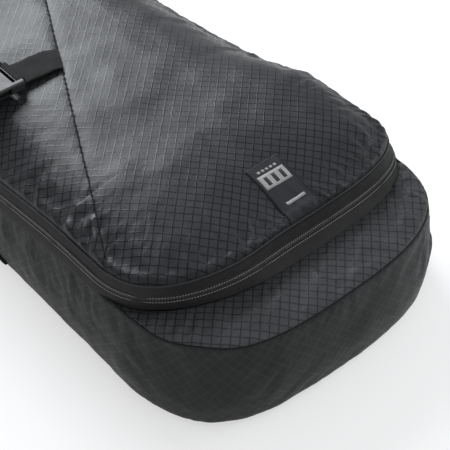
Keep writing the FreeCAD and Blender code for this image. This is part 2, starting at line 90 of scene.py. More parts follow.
# The plan of the tub: a superellipse at each end, how far its top seam stands in at the ends and along the
# legs, how much that seam rises at the ends, the corner that is pressed in, and where the legs end
END_DEPTH, END_POWER = 134.5, 2.95
TOE_INSET, LEG_INSET, TOE_LIFT = 7.0, 4.0, 1.5
PRESSED_CORNER, PRESSED_DEPTH, PRESSED_SPREAD = (-148.0, -778.0), 5.0, 26
CAP_START = -600.0

# How far the lid's rise is spread at its sides, at the tail and at the head
REACH_LEFT, REACH_RIGHT_TAIL, REACH_RIGHT, REACH_TAIL, REACH_HEAD = 27.0, 15.0, 33.0, 56.0, 75.0
SPINE_TAIL, SPINE_HEAD = -600.0, 480.0


# ---------------------------------------------------------------- helpers
def smooth(a, b, v):
    t = np.clip((np.asarray(v, float) - a) / (b - a), 0, 1)
    return t * t * (3 - 2 * t)


def bell(away, spread):
    """1 at no distance, fading to 0 over a spread."""
    return np.exp(-((away / spread) ** 2))


def unit(v):
    return v / np.maximum(np.linalg.norm(v, axis=-1, keepdims=True), 1e-9)


def rim(y):
    return RIM_MID + (RIM_END - RIM_MID) * smooth(DIP_INNER, DIP_OUTER, np.abs(y))


def lean(y):
    """How far the strap's pull leans the right side's zipper inwards."""
    return 10 * smooth(600, 520, np.abs(y)) + 11 * smooth(500, 300, np.abs(y))


def place_object(name, data):
    obj = bpy.data.objects.new(name, data)
    bpy.context.scene.collection.objects.link(obj)
    return obj


def new_mesh(name, verts, faces, uv=None):
    """verts in millimetres; uv is one pair for each vertex, in metres."""
    mesh = bpy.data.meshes.new(name)
    verts = np.asarray(verts, float).reshape(-1, 3) / 1000
    mesh.from_pydata(verts.tolist(), [], [list(map(int, f)) for f in faces])
    mesh.shade_smooth()
    if uv is not None:
        layer = mesh.uv_layers.new(name="cloth")
        loops = np.zeros(len(mesh.loops), int)
        mesh.loops.foreach_get("vertex_index", loops)
        layer.data.foreach_set("uv", np.asarray(uv, float).reshape(-1, 2)[loops].ravel())
    mesh.update()
    return place_object(name, mesh)


def to_bmesh(obj):
    mesh = bmesh.new()
    mesh.from_mesh(obj.data)
    return mesh


def from_bmesh(name, mesh):
    data = bpy.data.meshes.new(name)
    mesh.to_mesh(data)
    mesh.free()
    data.shade_smooth()
    return place_object(name, data)


def grid_faces(rows, columns, closed=False):
    wrap = columns if closed else columns - 1
    r, c = np.meshgrid(np.arange(rows - 1), np.arange(wrap), indexing="ij")
    a, b = r * columns + c, r * columns + (c + 1) % columns
    return np.stack([a, b, b + columns, a + columns], -1).reshape(-1, 4)


def capped_faces(rows, count):
    """The faces of a tube from rows of points, with one face over each end."""
    caps = [list(range(count))[::-1], list(range((rows - 1) * count, rows * count))]
    return [*grid_faces(rows, count, True).tolist(), *caps]


def grid(name, points, uv=None, closed=False):
    """A sheet from points[row][column]."""
    return new_mesh(name, points, grid_faces(*points.shape[:2], closed), uv)


def cloth_uv(u, v):
    """The cloth's flat coordinates for a grid, from millimetres to metres."""
    return np.stack(np.broadcast_arrays(u, v), -1) / 1000


def normals_of(points, closed=False):
    across = np.gradient(points, axis=0)
    along = np.gradient(points, axis=1)
    if closed:
        along[:, 0] = points[:, 1] - points[:, -1]
        along[:, -1] = points[:, 0] - points[:, -2]
    return unit(np.cross(along, across))


def noise(points, scale, seed, octaves=3):
    """Smooth seeded noise from sums of sine waves, about -1 to 1."""
    rng = np.random.default_rng(seed)
    total = np.zeros(points.shape[:-1])
    for octave in range(octaves):
        for _ in range(5):
            direction = unit(rng.normal(size=3)) * rng.uniform(0.7, 1.4) * 2 * math.pi / scale * 1.9**octave
            total += np.sin(points @ direction + rng.uniform(0, 6.3)) * 0.4 * 0.5**octave
    return total


# The soft unevenness of each cloth, as wave length, seed and height
RIPPLES = {
    "wall": ((120, 3, 0.9), (34, 4, 0.35)), "base": ((90, 8, 0.25),), "lining": ((70, 15, 0.6),),
    "tail_deck": ((60, 5, 0.8),), "head_deck": ((60, 21, 0.8),), "tape": ((45, 31, 0.35),),
    "lid": ((170, 1, 0.9), (48, 2, 0.22)), "seam_pucker": ((26, 9, 0.25),), "lid_layer": ((80, 51, 0.6),),
    "sleeve": ((25, 71, 0.25),),
}


def ripple(points, kind):
    return sum(noise(points, scale, seed) * height for scale, seed, height in RIPPLES[kind])


def finish_piece(obj, body, slot, material, *nodes):
    obj.data.materials.clear()
    obj.data.materials.append(MATERIALS[material])
    if nodes:
        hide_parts(*nodes)
    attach(obj, body)
    return obj


THICKNESS = {
    "wall": 1.4, "base": 1.0, "deck": 1.2, "tape": 1.0, "lid": 1.3, "lid_foam": 3.0, "lid_lining": 0.6,
    "label": 0.9, "label_mark": 0.2, "fold": 1.2, "zip_end": 1.0,
}


def thicken(obj, kind):
    """Gives a sheet its thickness, inwards from its surface."""
    solid = obj.modifiers.new("thickness", "SOLIDIFY")
    solid.thickness = THICKNESS[kind] / 1000
    solid.offset = -1.0


def strip_boxes(name, starts, ends, up, width, height):
    """Small six-sided bars, such as stitches or teeth, from starts to ends, standing on up."""
    along = unit(ends - starts)
    side = unit(np.cross(along, up)) * width / 2
    rise = up * height
    parts = []
    for end, point in ((0, starts), (1, ends)):
        pull = along * (height * 0.6 if end == 0 else -height * 0.6)
        crest = point + rise + pull
        parts += [point - side, crest - side * 0.6, crest + side * 0.6, point + side]
    verts = np.stack(parts, 1)
    loops = np.array([(0, 1, 2, 3), (7, 6, 5, 4), (0, 4, 5, 1), (1, 5, 6, 2), (2, 6, 7, 3), (3, 7, 4, 0)])
    faces = (np.arange(len(verts))[:, None, None] * 8 + loops).reshape(-1, 4)
    return new_mesh(name, verts.reshape(-1, 3), faces)


def stitches(name, starts, ends, up, width, height, body, slot, thread_kind):
    made = strip_boxes(name, starts, ends, up, width, height)
    finish_piece(made, body, slot, thread_kind)


def tube(name, path, radius, sides=8, closed=False, squash_z=1.0):
    path = np.asarray(path, float)
    along = np.gradient(path, axis=0)
    if closed:
        along[0], along[-1] = path[1] - path[-1], path[0] - path[-2]
    along = unit(along)
    side = unit(np.cross(along, np.array([0, 0, 1.0])))
    up = np.cross(side, along)
    turn = np.linspace(0, 2 * math.pi, sides, endpoint=False)
    ring = np.cos(turn)[:, None, None] * side * radius + np.sin(turn)[:, None, None] * up * radius * squash_z
    points = np.transpose(path + ring, (1, 0, 2))
    rows = len(path)
    if not closed:
        return new_mesh(name, points, capped_faces(rows, sides))
    faces = grid_faces(rows + 1, sides, True)
    return new_mesh(name, points, np.where(faces >= rows * sides, faces - rows * sides, faces))


def lengths(path):
    """The length along a path at each of its points."""
    return np.concatenate([[0], np.cumsum(np.linalg.norm(np.diff(path, axis=0), axis=1))])


def read_at(values, length, marks):
    """values, a row for each point of a path, read at marks along its length."""
    return np.stack([np.interp(marks, length, values[:, k]) for k in range(values.shape[1])], 1)


def evenly(values, path, step):
    """values, a row for each point of a path, at an even step along it."""
    length = lengths(path)
    return read_at(values, length, np.arange(0, length[-1], step))


# ---------------------------------------------------------------- lines of the plan
def half_cap(width, y_end, depth, power, count):
    """From the leg at CAP_START round one corner to the middle of the tail, evenly spaced by length."""
    t = np.linspace(0, math.pi / 2, 500)
    x = np.concatenate([[width], width * np.cos(t) ** (2 / power)])
    y = np.concatenate([[CAP_START], y_end + depth - depth * np.sin(t) ** (2 / power)])
    length = np.concatenate([[0], np.cumsum(np.hypot(np.diff(x), np.diff(y)))])
    marks = np.linspace(0, length[-1], count)
    return np.interp(marks, length, x), np.interp(marks, length, y)


LEG_STEP, CAP_COLUMNS = 4.0, 121
LEG_Y = np.append(np.arange(CAP_START + LEG_STEP, LEG_TOP, LEG_STEP), LEG_TOP)


def u_line(leg_x, rise, left, right, lean_share):
    """A line round the tail and along both legs, from the left leg's head end to the right's.
    left and right give the tail's end, depth, power and height there."""
    halves = []
    for side, (y_end, depth, power, height) in ((-1, left), (1, right)):
        x, y = half_cap(leg_x[side > 0], y_end, depth, power, CAP_COLUMNS)
        middle = smooth(-85, -5, side * x)
        if side < 0:
            y = y + (right[0] - left[0]) * middle
            height = height + (right[3] - left[3]) * middle
        swing = smooth(y_end + depth, y_end + depth * 0.15, y)
        z = (rim(y) + rise) * (1 - swing) + height * swing
        x = np.concatenate([np.full(len(LEG_Y), leg_x[side > 0])[::-1], x]) * side
        y = np.concatenate([LEG_Y[::-1], y])
        z = np.concatenate([(rim(LEG_Y) + rise)[::-1], z])
        if side > 0:
            x = x - lean(y) * lean_share
        halves.append(np.stack([x, y, z], 1))
    return np.concatenate([halves[0], halves[1][-2::-1]])


# The lid's zipper: the lower tape's edge, the coil and the seam above it
LOW = u_line((176.6, 176.6), -3.0, (-758.0, 112.0, 2.36, 101.0), (-757.0, 83.0, 3.26, 100.0), 0.0)
COIL = u_line((174.6, 174.6), COIL_RISE, (-750.0, 103.0, 2.77, 115.0), (-742.5, 61.6, 3.47, 108.5), 0.35)
SEAM = u_line((171.0, 168.0), EDGE_RISE, (-746.0, 95.0, 3.1, 134.5), (-738.5, 66.0, 3.35, 130.0), 1.0)
BEFORE_CAP = len(LEG_Y)
CAP = slice(BEFORE_CAP, BEFORE_CAP + 2 * CAP_COLUMNS - 1)


def plan_loop(step):
    """The tub's whole outline anticlockwise from above, the outward direction and the length along it."""
    t = np.linspace(0, math.pi / 2, 400)
    x = HALF_W * np.cos(t) ** (2 / END_POWER)
    y = HALF_L - END_DEPTH + END_DEPTH * np.sin(t) ** (2 / END_POWER)
    quarter = np.stack([x, y], 1)
    half = np.concatenate([quarter, (quarter * (-1, 1))[::-1][1:]])
    loop = np.concatenate([half, -half])
    loop = np.concatenate([loop, loop[:1]])
    length = lengths(loop)
    marks = np.linspace(0, length[-1], int(length[-1] / step), endpoint=False)
    points = read_at(loop, length, marks)
    return points, outward_of(points), marks


def outward_of(points):
    along = unit(np.roll(points, -1, 0) - np.roll(points, 1, 0))
    return np.stack([along[:, 1], -along[:, 0]], 1)


def toe_inset(x, y):
    """How far the top seam stands in from the plan, with the pressed-in corner at the left of the tail."""
    away = np.hypot(x - PRESSED_CORNER[0], y - PRESSED_CORNER[1])
    pressed = PRESSED_DEPTH * bell(away, PRESSED_SPREAD)
    return LEG_INSET + (TOE_INSET - LEG_INSET) * smooth(HALF_L - 170, HALF_L - 110, np.abs(y)) + pressed


def end_lift(y):
    return TOE_LIFT * smooth(HALF_L - 150, HALF_L - 90, np.abs(y))


def segment_ridge(points, start, stop, width, height):
    """Height of a crease that runs from start to stop and fades at both ends."""
    start, stop = np.array(start, float), np.array(stop, float)
    run = stop - start
    t = np.clip((points - start) @ run / (run @ run), 0, 1)
    away = np.linalg.norm(points - start - t[..., None] * run, axis=-1)
    return height * bell(away, width) * np.sin(math.pi * (0.12 + 0.8 * t)) ** 0.7


def creases(points, lines):
    total = np.zeros(points.shape[:-1])
    for start, stop, width, height in lines:
        lo = np.minimum(start, stop) - 3 * width
        hi = np.maximum(start, stop) + 3 * width
        near = np.all((points > lo) & (points < hi), -1)
        total[near] += segment_ridge(points[near], start, stop, width, height)
    return total


# ---------------------------------------------------------------- cloth
SETTLE_FRAMES, SETTLE_STEPS, SETTLE_PRESSURE = 18, 5, 1.5
THIN_BEND, STIFF_BEND = 0.006, 0.02


def settle(points, closed, growth, bend):
    """Where a sheet moves to when it is cut larger than its seams allow, by Blender's cloth.

    Its first and last rows are sewn down, and an open sheet's ends. The result is in millimetres."""
    sheet = grid("settling", points, closed=closed)
    rows, columns = points.shape[:2]
    sewn = sheet.vertex_groups.new(name="sewn")
    sewn.add([*range(columns), *range((rows - 1) * columns, rows * columns)], 1.0, "REPLACE")
    if not closed:
        sewn.add([row * columns + k for row in range(rows) for k in (0, columns - 1)], 1.0, "REPLACE")
    cloth = sheet.modifiers.new("cloth", "CLOTH")
    settings = {
        "quality": SETTLE_STEPS, "mass": 0.12, "tension_stiffness": 40, "compression_stiffness": 40,
        "shear_stiffness": 8, "bending_stiffness": bend, "air_damping": 2, "vertex_group_mass": "sewn",
        "shrink_min": -growth, "use_pressure": True, "uniform_pressure_force": SETTLE_PRESSURE,
    }
    for key, value in settings.items():
        setattr(cloth.settings, key, value)
    cloth.settings.effector_weights.gravity = 0
    cloth.collision_settings.use_collision = False
    cloth.point_cache.frame_start, cloth.point_cache.frame_end = 1, SETTLE_FRAMES
    for step in range(1, SETTLE_FRAMES + 1):
        bpy.context.scene.frame_set(step)
    moved = sheet.evaluated_get(bpy.context.evaluated_depsgraph_get()).to_mesh()
    settled = np.zeros(rows * columns * 3)
    moved.vertices.foreach_get("co", settled)
    bpy.context.scene.frame_set(1)
    bpy.data.objects.remove(sheet)
    return settled.reshape(points.shape) * 1000 - points


def average_along(values, reach, closed):
    """A running average along the columns, over twice the reach."""
    pad = np.pad(values, ((0, 0), (reach, reach)), "wrap" if closed else "edge")
    total = np.cumsum(pad, 1)
    total = np.concatenate([np.zeros((len(values), 1)), total], 1)
    return (total[:, 2 * reach + 1 :] - total[:, : -2 * reach - 1]) / (2 * reach + 1)


def between_rows(values, place):
    """values read at a fractional row, which place gives for each point of a grid with the same columns."""
    place = np.clip(place, 0, len(values) - 1.001)
    row = place.astype(int)
    share = place - row
    column = np.broadcast_to(np.arange(values.shape[1]), place.shape)
    return values[row, column] * (1 - share) + values[row + 1, column] * share


def slack_folds(points, closed, growth, bend, cap, reach=9):
    """Only the folds of the settled sheet, square to it and up to cap high: its overall shape stays."""
    height = (settle(points, closed, growth, bend) * normals_of(points, closed)).sum(-1)
    height -= average_along(height, reach, closed)
    return cap * np.tanh(height / cap)


# ---------------------------------------------------------------- materials
class Shader:
    """Builds one material's nodes. Sizes are in metres."""

    def __init__(self, name, roughness=0.5, specular=0.5, metallic=0.0, sheen=0.0):
        self.material = bpy.data.materials.new(name)
        self.material.use_nodes = True
        self.tree = self.material.node_tree
        self.main = self.tree.nodes["Principled BSDF"]
        self.main.inputs["Roughness"].default_value = roughness
        self.main.inputs["Specular IOR Level"].default_value = specular
        self.main.inputs["Metallic"].default_value = metallic
        self.main.inputs["Sheen Weight"].default_value = sheen
        self.main.inputs["Sheen Roughness"].default_value = 0.4
        self.height = None

    def put(self, node, inputs):
        """inputs pairs a socket's name or place with a number, a colour or the socket it is linked from."""
        for key, value in inputs.items():
            if isinstance(value, bpy.types.NodeSocket):
                self.tree.links.new(value, node.inputs[key])
            else:
                node.inputs[key].default_value = value

    def node(self, kind, inputs=(), **settings):
        made = self.tree.nodes.new("ShaderNode" + kind)
        for key, value in settings.items():
            setattr(made, key, value)
        self.put(made, dict(inputs))
        return made

    def math(self, operation, a, b=0.0, c=0.0):
        return self.node("Math", enumerate((a, b, c)), operation=operation).outputs[0]

    def ramp(self, value, low, high, to_low=0.0, to_high=1.0):
        inputs = enumerate((value, low, high, to_low, to_high))
        return self.node("MapRange", inputs, interpolation_type="SMOOTHSTEP").outputs[0]

    def mix(self, share, a, b):
        return self.node("Mix", {0: share, 6: a, 7: b}, data_type="RGBA").outputs[2]

    def place(self, uv=False, turn=0.0):
        source = self.node("UVMap", uv_map="cloth") if uv else self.node("TexCoord")
        inputs = {"Rotation": (0, 0, turn), "Vector": source.outputs["UV" if uv else "Object"]}
        return self.node("Mapping", inputs).outputs[0]

    def noise(self, place, scale, detail, roughness=0.55):
        inputs = {"Vector": place, "Scale": scale, "Detail": detail, "Roughness": roughness}
        return self.node("TexNoise", inputs).outputs["Fac"]

    def lines(self, coordinate, pitch, width):
        """1 on parallel lines of a width at a pitch, 0 between them."""
        cell = self.math("FRACT", self.math("DIVIDE", coordinate, pitch))
        away = self.math("ABSOLUTE", self.math("SUBTRACT", cell, 0.5))
        edge = 0.5 * width / pitch
        return self.ramp(away, edge * 0.5, edge * 1.5, 1.0, 0.0)

    def split(self, place):
        return self.node("SeparateXYZ", {0: place}).outputs

    def colour(self, value):
        self.put(self.main, {"Base Color": value})

    def rough(self, value):
        self.put(self.main, {"Roughness": value})

    def bump(self, height, strength, distance):
        inputs = {"Strength": strength, "Distance": distance, "Height": height}
        if self.height is not None:
            inputs["Normal"] = self.height
        self.height = self.node("Bump", inputs).outputs[0]
        self.put(self.main, {"Normal": self.height})


def tone(value, tint=(1.0, 1.0, 1.0)):
    return (value * tint[0], value * tint[1], value * tint[2], 1.0)


COOL, OLIVE, NEUTRAL = (0.94, 0.98, 1.1), (1.0, 1.01, 0.95), (1.0, 1.0, 1.0)
CELL, LINE = 0.0085, 0.0012


def ripstop(name, base, thread, tint, line_share=1.0, crumple=0.35, roughness=0.46, gloss=0.13):
    """Crinkled nylon with a square grid of thicker threads, laid at 45 degrees."""
    s = Shader(name, roughness, gloss, sheen=0.03)
    cloth = s.place(uv=True, turn=math.radians(45))
    wander = s.noise(cloth, 55.0, 2.0)
    x, y, _ = s.split(cloth)
    shift = s.math("MULTIPLY", s.math("SUBTRACT", wander, 0.5), 0.0011)
    grid_x = s.lines(s.math("ADD", x, shift), CELL, LINE)
    grid_y = s.lines(s.math("SUBTRACT", y, shift), CELL, LINE)
    threads = s.math("MAXIMUM", grid_x, grid_y)
    broken = s.ramp(s.noise(cloth, 260.0, 1.0), 0.25, 0.5, 0.6, 1.0)
    threads = s.math("MULTIPLY", threads, broken)
    mottle = s.noise(s.place(), 21.0, 4.0, 0.6)
    fine = s.noise(cloth, 1400.0, 2.0)
    cell = s.mix(s.ramp(mottle, 0.3, 0.72), tone(base * 0.84, tint), tone(base * 1.16, tint))
    cell = s.mix(s.ramp(fine, 0.35, 0.7, 0.0, 0.28), cell, tone(base * 0.6, tint))
    # Threads take the thread tone. On the gusset that tone is lighter than the cloth: a painted sheen.
    s.colour(s.mix(s.math("MULTIPLY", threads, 0.95 * line_share), cell, tone(thread, tint)))
    slick = s.math("MULTIPLY_ADD", threads, -0.12 * line_share, roughness)
    s.rough(s.math("MULTIPLY_ADD", mottle, 0.12, s.math("SUBTRACT", slick, 0.06)))
    s.bump(s.noise(s.place(), 46.0, 4.0, 0.62), crumple, 0.0012)
    s.bump(s.noise(cloth, 170.0, 3.0, 0.6), crumple * 0.8, 0.0005)
    weave_x = s.lines(x, 0.0006, 0.0003)
    weave_y = s.lines(y, 0.0006, 0.0003)
    s.bump(s.math("ADD", weave_x, weave_y), 0.1, 0.0001)
    s.bump(threads, 0.35 * line_share, 0.00025)
    return s.material


def plain_weave(name, base, tint, pitch, uv=True, roughness=0.62, depth=0.25, ribs=False, sheen=0.03):
    """A coarse weave; ribs gives webbing's long herringbone ribs."""
    s = Shader(name, roughness, 0.12, sheen=sheen)
    place = s.place(uv=uv)
    x, y, z = s.split(place)
    if ribs:
        wave = s.math("MULTIPLY", s.math("PINGPONG", y, 0.0035), 0.7)
        warp = s.lines(s.math("ADD", x, wave), pitch, pitch * 0.5)
        weft = s.lines(y, 0.0035, 0.0005)
    else:
        warp = s.lines(s.math("ADD", x, z) if not uv else x, pitch, pitch * 0.5)
        weft = s.lines(y, pitch, pitch * 0.5)
    weave = s.math("ADD", warp, weft)
    mottle = s.noise(s.place(), 60.0, 4.0, 0.6)
    body = s.mix(s.ramp(mottle, 0.3, 0.7), tone(base * 0.85, tint), tone(base * 1.15, tint))
    s.colour(s.mix(s.math("MULTIPLY", weave, 0.3), body, tone(base * 0.55, tint)))
    s.rough(s.math("MULTIPLY_ADD", mottle, 0.12, roughness - 0.06))
    s.bump(mottle, 0.15, 0.001)
    s.bump(weave, depth, 0.0003)
    return s.material


def plastic(name, base, tint, roughness, metallic=0.0):
    s = Shader(name, roughness, 0.35, metallic)
    place = s.place()
    grain = s.noise(place, 900.0, 3.0)
    wear = s.noise(place, 70.0, 4.0, 0.65)
    # Sharp edges are painted lighter, up to 2.2 times the base tone: a painted highlight.
    edges = s.node("NewGeometry").outputs["Pointiness"]
    edge_highlight = s.ramp(edges, 0.52, 0.6)
    body = s.mix(s.ramp(wear, 0.35, 0.7), tone(base * 0.85, tint), tone(base * 1.15, tint))
    s.colour(s.mix(s.math("MULTIPLY", edge_highlight, 0.5), body, tone(base * 2.2, tint)))
    s.rough(s.math("MULTIPLY_ADD", wear, 0.2, roughness - 0.1))
    s.bump(grain, 0.12, 0.0003)
    return s.material


def thread(name, base, tint):
    s = Shader(name, 0.8, 0.1)
    place = s.place()
    twist = s.noise(place, 2500.0, 1.0)
    s.colour(s.mix(twist, tone(base * 0.7, tint), tone(base * 1.25, tint)))
    s.bump(twist, 0.2, 0.0002)
    return s.material


def foam_material(name):
    s = Shader(name, 0.9, 0.2)
    place = s.place()
    cells = s.node("TexVoronoi", {"Vector": place, "Scale": 700.0}).outputs["Distance"]
    s.colour(s.mix(s.ramp(cells, 0.0, 0.6), tone(0.05), tone(0.16)))
    s.bump(cells, 0.4, 0.0006)
    return s.material


def floor_material():
    s = Shader("studio_floor", 0.75, 0.2)
    cloud = s.noise(s.place(), 1.5, 2.0)
    s.colour(s.mix(cloud, tone(0.3), tone(0.32)))
    s.main.inputs["Emission Color"].default_value = (1, 1, 1, 1)
    s.main.inputs["Emission Strength"].default_value = 0.57
    return s.material


MATERIALS = {
    "lid": ripstop("lid_ripstop", 0.020, 0.0010, COOL, roughness=0.41),
    "lid_hem": ripstop("lid_hem_cloth", 0.03, 0.012, COOL, 0.4),
    "deck": ripstop("deck_ripstop", 0.037, 0.005, (0.95, 0.985, 1.06), 0.85, 0.6),
    # The gusset's thread tone is lighter than its cloth, so its grid lines carry a painted sheen.
    "gusset": ripstop("gusset_cloth", 0.021, 0.034, (0.97, 1.0, 1.01), 0.5, 0.6, 0.48, 0.08),
    "back": plain_weave("back_cloth", 0.02, NEUTRAL, 0.0014, uv=False, depth=0.4),
    "lining": ripstop("lining_cloth", 0.09, 0.07, COOL, 0.3, 0.2, 0.6),
    "foam": foam_material("foam_grey"),
    "piping": plain_weave("piping_cloth", 0.018, NEUTRAL, 0.0008, uv=False),
    "tape": plain_weave("zipper_tape_weave", 0.023, OLIVE, 0.0009, roughness=0.7),
    "coil": plastic("zipper_coil_nylon", 0.05, OLIVE, 0.3),
    "webbing": plain_weave(
        "strap_webbing", 0.005, OLIVE, 0.0016, ribs=True, roughness=0.75, depth=0.5, sheen=0.0
    ),
    "sleeve": plain_weave("grip_sleeve", 0.025, NEUTRAL, 0.0012, depth=0.4),
    "buckle": plastic("buckle_plastic", 0.012, NEUTRAL, 0.5),
    "metal": plastic("slider_metal", 0.09, NEUTRAL, 0.35, 0.9),
    "grip": plastic("grip_rubber", 0.02, NEUTRAL, 0.6),
    "label": plain_weave("label_satin", 0.018, COOL, 0.0005, roughness=0.5),
    "label_pale": plain_weave("label_print_pale", 0.26, NEUTRAL, 0.0005, roughness=0.6, sheen=0.0),
    "label_dark": plain_weave("label_print_dark", 0.03, NEUTRAL, 0.0005, roughness=0.6, sheen=0.0),
    "thread_dark": thread("thread_black", 0.008, NEUTRAL),
    "thread_light": thread("thread_grey", 0.24, OLIVE),
}


# ---------------------------------------------------------------- tub
WALL_ROWS, WALL_GROWTH, WALL_FOLD_CAP = 30, 0.012, 1.9
# How far the wall turns under at the floor and how far it bulges, and the closer rows near the floor
WALL_TUCK, WALL_BELLY = 8.0, 4.2
LOW_SHARES = (0.0, 0.012, 0.035, 0.075)


def wall_points(step=3.5, outwards=0.0, top_drop=0.0, z_low=0.6):
    """The wall's outer face as rows of points, from the floor up to the toe seam or the zipper."""
    plan, out, marks = plan_loop(step)
    y = plan[:, 1]
    top = head_top(y, rim(y)) + end_lift(y) - top_drop
    inset = toe_inset(plan[:, 0], y)
    rows = []
    for share in np.concatenate([LOW_SHARES, np.linspace(0.12, 1, WALL_ROWS - len(LOW_SHARES))]):
        tuck = -WALL_TUCK * (1 - smooth(0, 0.09, share)) ** 2
        belly = WALL_BELLY * math.sin(math.pi * min(1, share * 0.92 + 0.06)) ** 0.8
        push = tuck + belly - inset * smooth(0.25, 1.0, share) + outwards
        z = z_low + (top - z_low) * share
        rows.append(np.stack([plan[:, 0] + out[:, 0] * push, y + out[:, 1] * push, z], 1))
    points = np.array(rows)
    return points, cloth_uv(marks, points[..., 2])


def head_top(y, z):
    """Past the lid's fold the wall's top climbs to meet the head deck."""
    fall = (HINGE[2] - RIM_END) * np.clip((HALF_L - 6 - y) / (HALF_L - HINGE[1]), 0, 1.0)
    return z + fall * smooth(LEG_TOP, LEG_TOP + 22, y)


def wall_creases():
    """Slack folds that hang from the zipper on both long walls and lean towards the tail."""
    rng = np.random.default_rng(11)
    lines = []
    for x in (-HALF_W - 1, HALF_W + 1):
        y = -HALF_L + 118
        while y < HALF_L - 130:
            top = rim(y) - rng.uniform(2, 12)
            fall = rng.uniform(18, 62)
            slant = rng.uniform(0.1, 0.5) * fall
            stop = (x, y - slant, top - fall)
            lines.append(((x, y, top), stop, rng.uniform(2.8, 5.0), rng.uniform(0.8, 2.2)))
            y += rng.uniform(9, 30)
    return lines


def make_walls():
    points, uv = wall_points()
    normal = normals_of(points, True)
    share = np.linspace(0, 1, WALL_ROWS)[:, None]
    fade = np.sin(np.linspace(0.05, 1, WALL_ROWS) * math.pi)[:, None] ** 0.5
    slack = slack_folds(points, True, WALL_GROWTH, THIN_BEND, WALL_FOLD_CAP, 6)
    slack *= 0.25 + 0.75 * smooth(0.15, 0.75, share)
    shift = creases(points, wall_creases()) + ripple(points, "wall")
    points = points + normal * (slack + shift * fade + creases(points, toe_tucks(True)))[..., None]
    wall = grid("gusset_wall", points, uv, closed=True)
    thicken(wall, "wall")
    nodes = ("gusset_tail", "gusset_head", "gusset_left", "gusset_right")
    finish_piece(wall, "bag", "gusset_fabric", "gusset", *nodes)


def toe_tucks(below):
    """Short gathers where the tail deck's seam draws its fabric in."""
    rng = np.random.default_rng(29)
    plan, out, _ = plan_loop(9.0)
    lines = []
    for (x, y), (nx, ny) in zip(plan, out):
        keep, width, size = rng.random(), rng.uniform(2.4, 4.2), rng.uniform(0.5, 1.5)
        length = rng.uniform(7, 24)
        if y > -HALF_L + 95 or keep > 0.62:
            continue
        edge = np.array([x - nx * TOE_INSET, y - ny * TOE_INSET, RIM_END])
        if below:
            stop = edge + (nx * 3, ny * 3, -length * 1.1)
        else:
            stop = edge + (-nx * length, -ny * length, 4)
        lines.append((edge, stop, width, size * (0.7 if below else 1.0)))
    return lines


# The piping's inset, height and radius
PIPING_IN, PIPING_Z, PIPING_R = 3.4, 4.4, 2.0
# The back panel's rings as inset and height; how far in the foam's faces and the lining stand; the quilt
BASE_RINGS = ((11, 3.4), (9.0, 0.8), (14, 0.25), (60, 0.6), (120, 0.3), (172, 0.4))
FOAM_OUT, FOAM_IN, LINING_IN, FLOOR_Z = -4.6, -8.0, -10.6, 11.0
FLOOR_SHARES = (0.985, 0.93, 0.7, 0.4, 0.12)
QUILT_PITCH, QUILT_RISE = 62, 1.2


def make_base():
    """The back panel and the piping round it."""
    plan, out, _ = plan_loop(6.0)
    rings = []
    for inset, z in BASE_RINGS:
        ring = plan - out * inset if inset < 60 else plan * (1 - inset / HALF_W, 1 - inset / HALF_L * 1.6)
        rings.append(np.concatenate([ring, np.full((len(ring), 1), z)], 1))
    points = np.array(rings)[::-1]
    points[..., 2] += np.abs(ripple(points, "base"))
    faces = grid_faces(len(points), len(plan), True).tolist()
    faces.append(list(range(len(plan)))[::-1])
    base = new_mesh("back_panel_cloth", points, faces, points[..., :2] / 1000)
    thicken(base, "base")
    finish_piece(base, "bag", "base_fabric", "back", "back_panel")
    ring = np.concatenate([plan - out * PIPING_IN, np.full((len(plan), 1), PIPING_Z)], 1)
    piping = tube("base_seam_piping", ring, PIPING_R, closed=True)
    finish_piece(piping, "bag", "piping", "piping", "base_piping")


def make_inside():
    """The foam behind the wall, and the lining that runs down it and over the quilted floor."""
    foam_out, _ = wall_points(9.0, FOAM_OUT, 10.0, 2.0)
    foam_in, _ = wall_points(9.0, FOAM_IN, 10.0, 10.0)
    foam = grid("wall_foam_layer", np.concatenate([foam_out, foam_in[::-1]]), closed=True)
    nodes = [f"wall_foam_{side}" for side in ("tail", "head", "left", "right")]
    finish_piece(foam, "bag", "foam", "foam", *nodes, "back_foam", "head_deck_foam")
    lining, uv = wall_points(7.0, LINING_IN, 8.0, FLOOR_Z)
    count = lining.shape[1]
    rings = []
    for share in FLOOR_SHARES:
        ring = lining[0] * (share, 1 - (1 - share) * 0.35, 1)
        ring[:, 2] = FLOOR_Z
        rings.append(ring)
    rings = np.array(rings)
    rings[..., 2] += np.abs(np.sin(rings[..., 1] / QUILT_PITCH * math.pi)) ** 0.5 * QUILT_RISE
    rows = np.concatenate([lining[::-1], rings])
    rows += normals_of(rows, True) * ripple(rows, "lining")[..., None]
    uv = np.concatenate([uv[::-1], rings[..., :2] / 1000])
    faces = grid_faces(len(rows), count, True).tolist()
    faces.append(list(range((len(rows) - 1) * count, len(rows) * count)))
    cloth = new_mesh("tub_lining_cloth", rows, faces, uv)
    finish_piece(cloth, "bag", "lining", "lining", "tub_lining")


# ---------------------------------------------------------------- decks
def toe_line():
    """The toe seam beside the zipper's columns round the tail."""
    end = (-HALF_L, END_DEPTH, END_POWER, RIM_END)
    line = u_line((HALF_W, HALF_W), 0.0, end, end, 0.0)
    along = unit(np.gradient(line[:, :2], axis=0))
    inward = np.stack([-along[:, 1], along[:, 0]], 1)
    line[:, :2] += inward * toe_inset(line[:, 0], line[:, 1])[:, None]
    line[:, 2] += end_lift(line[:, 1])
    return line


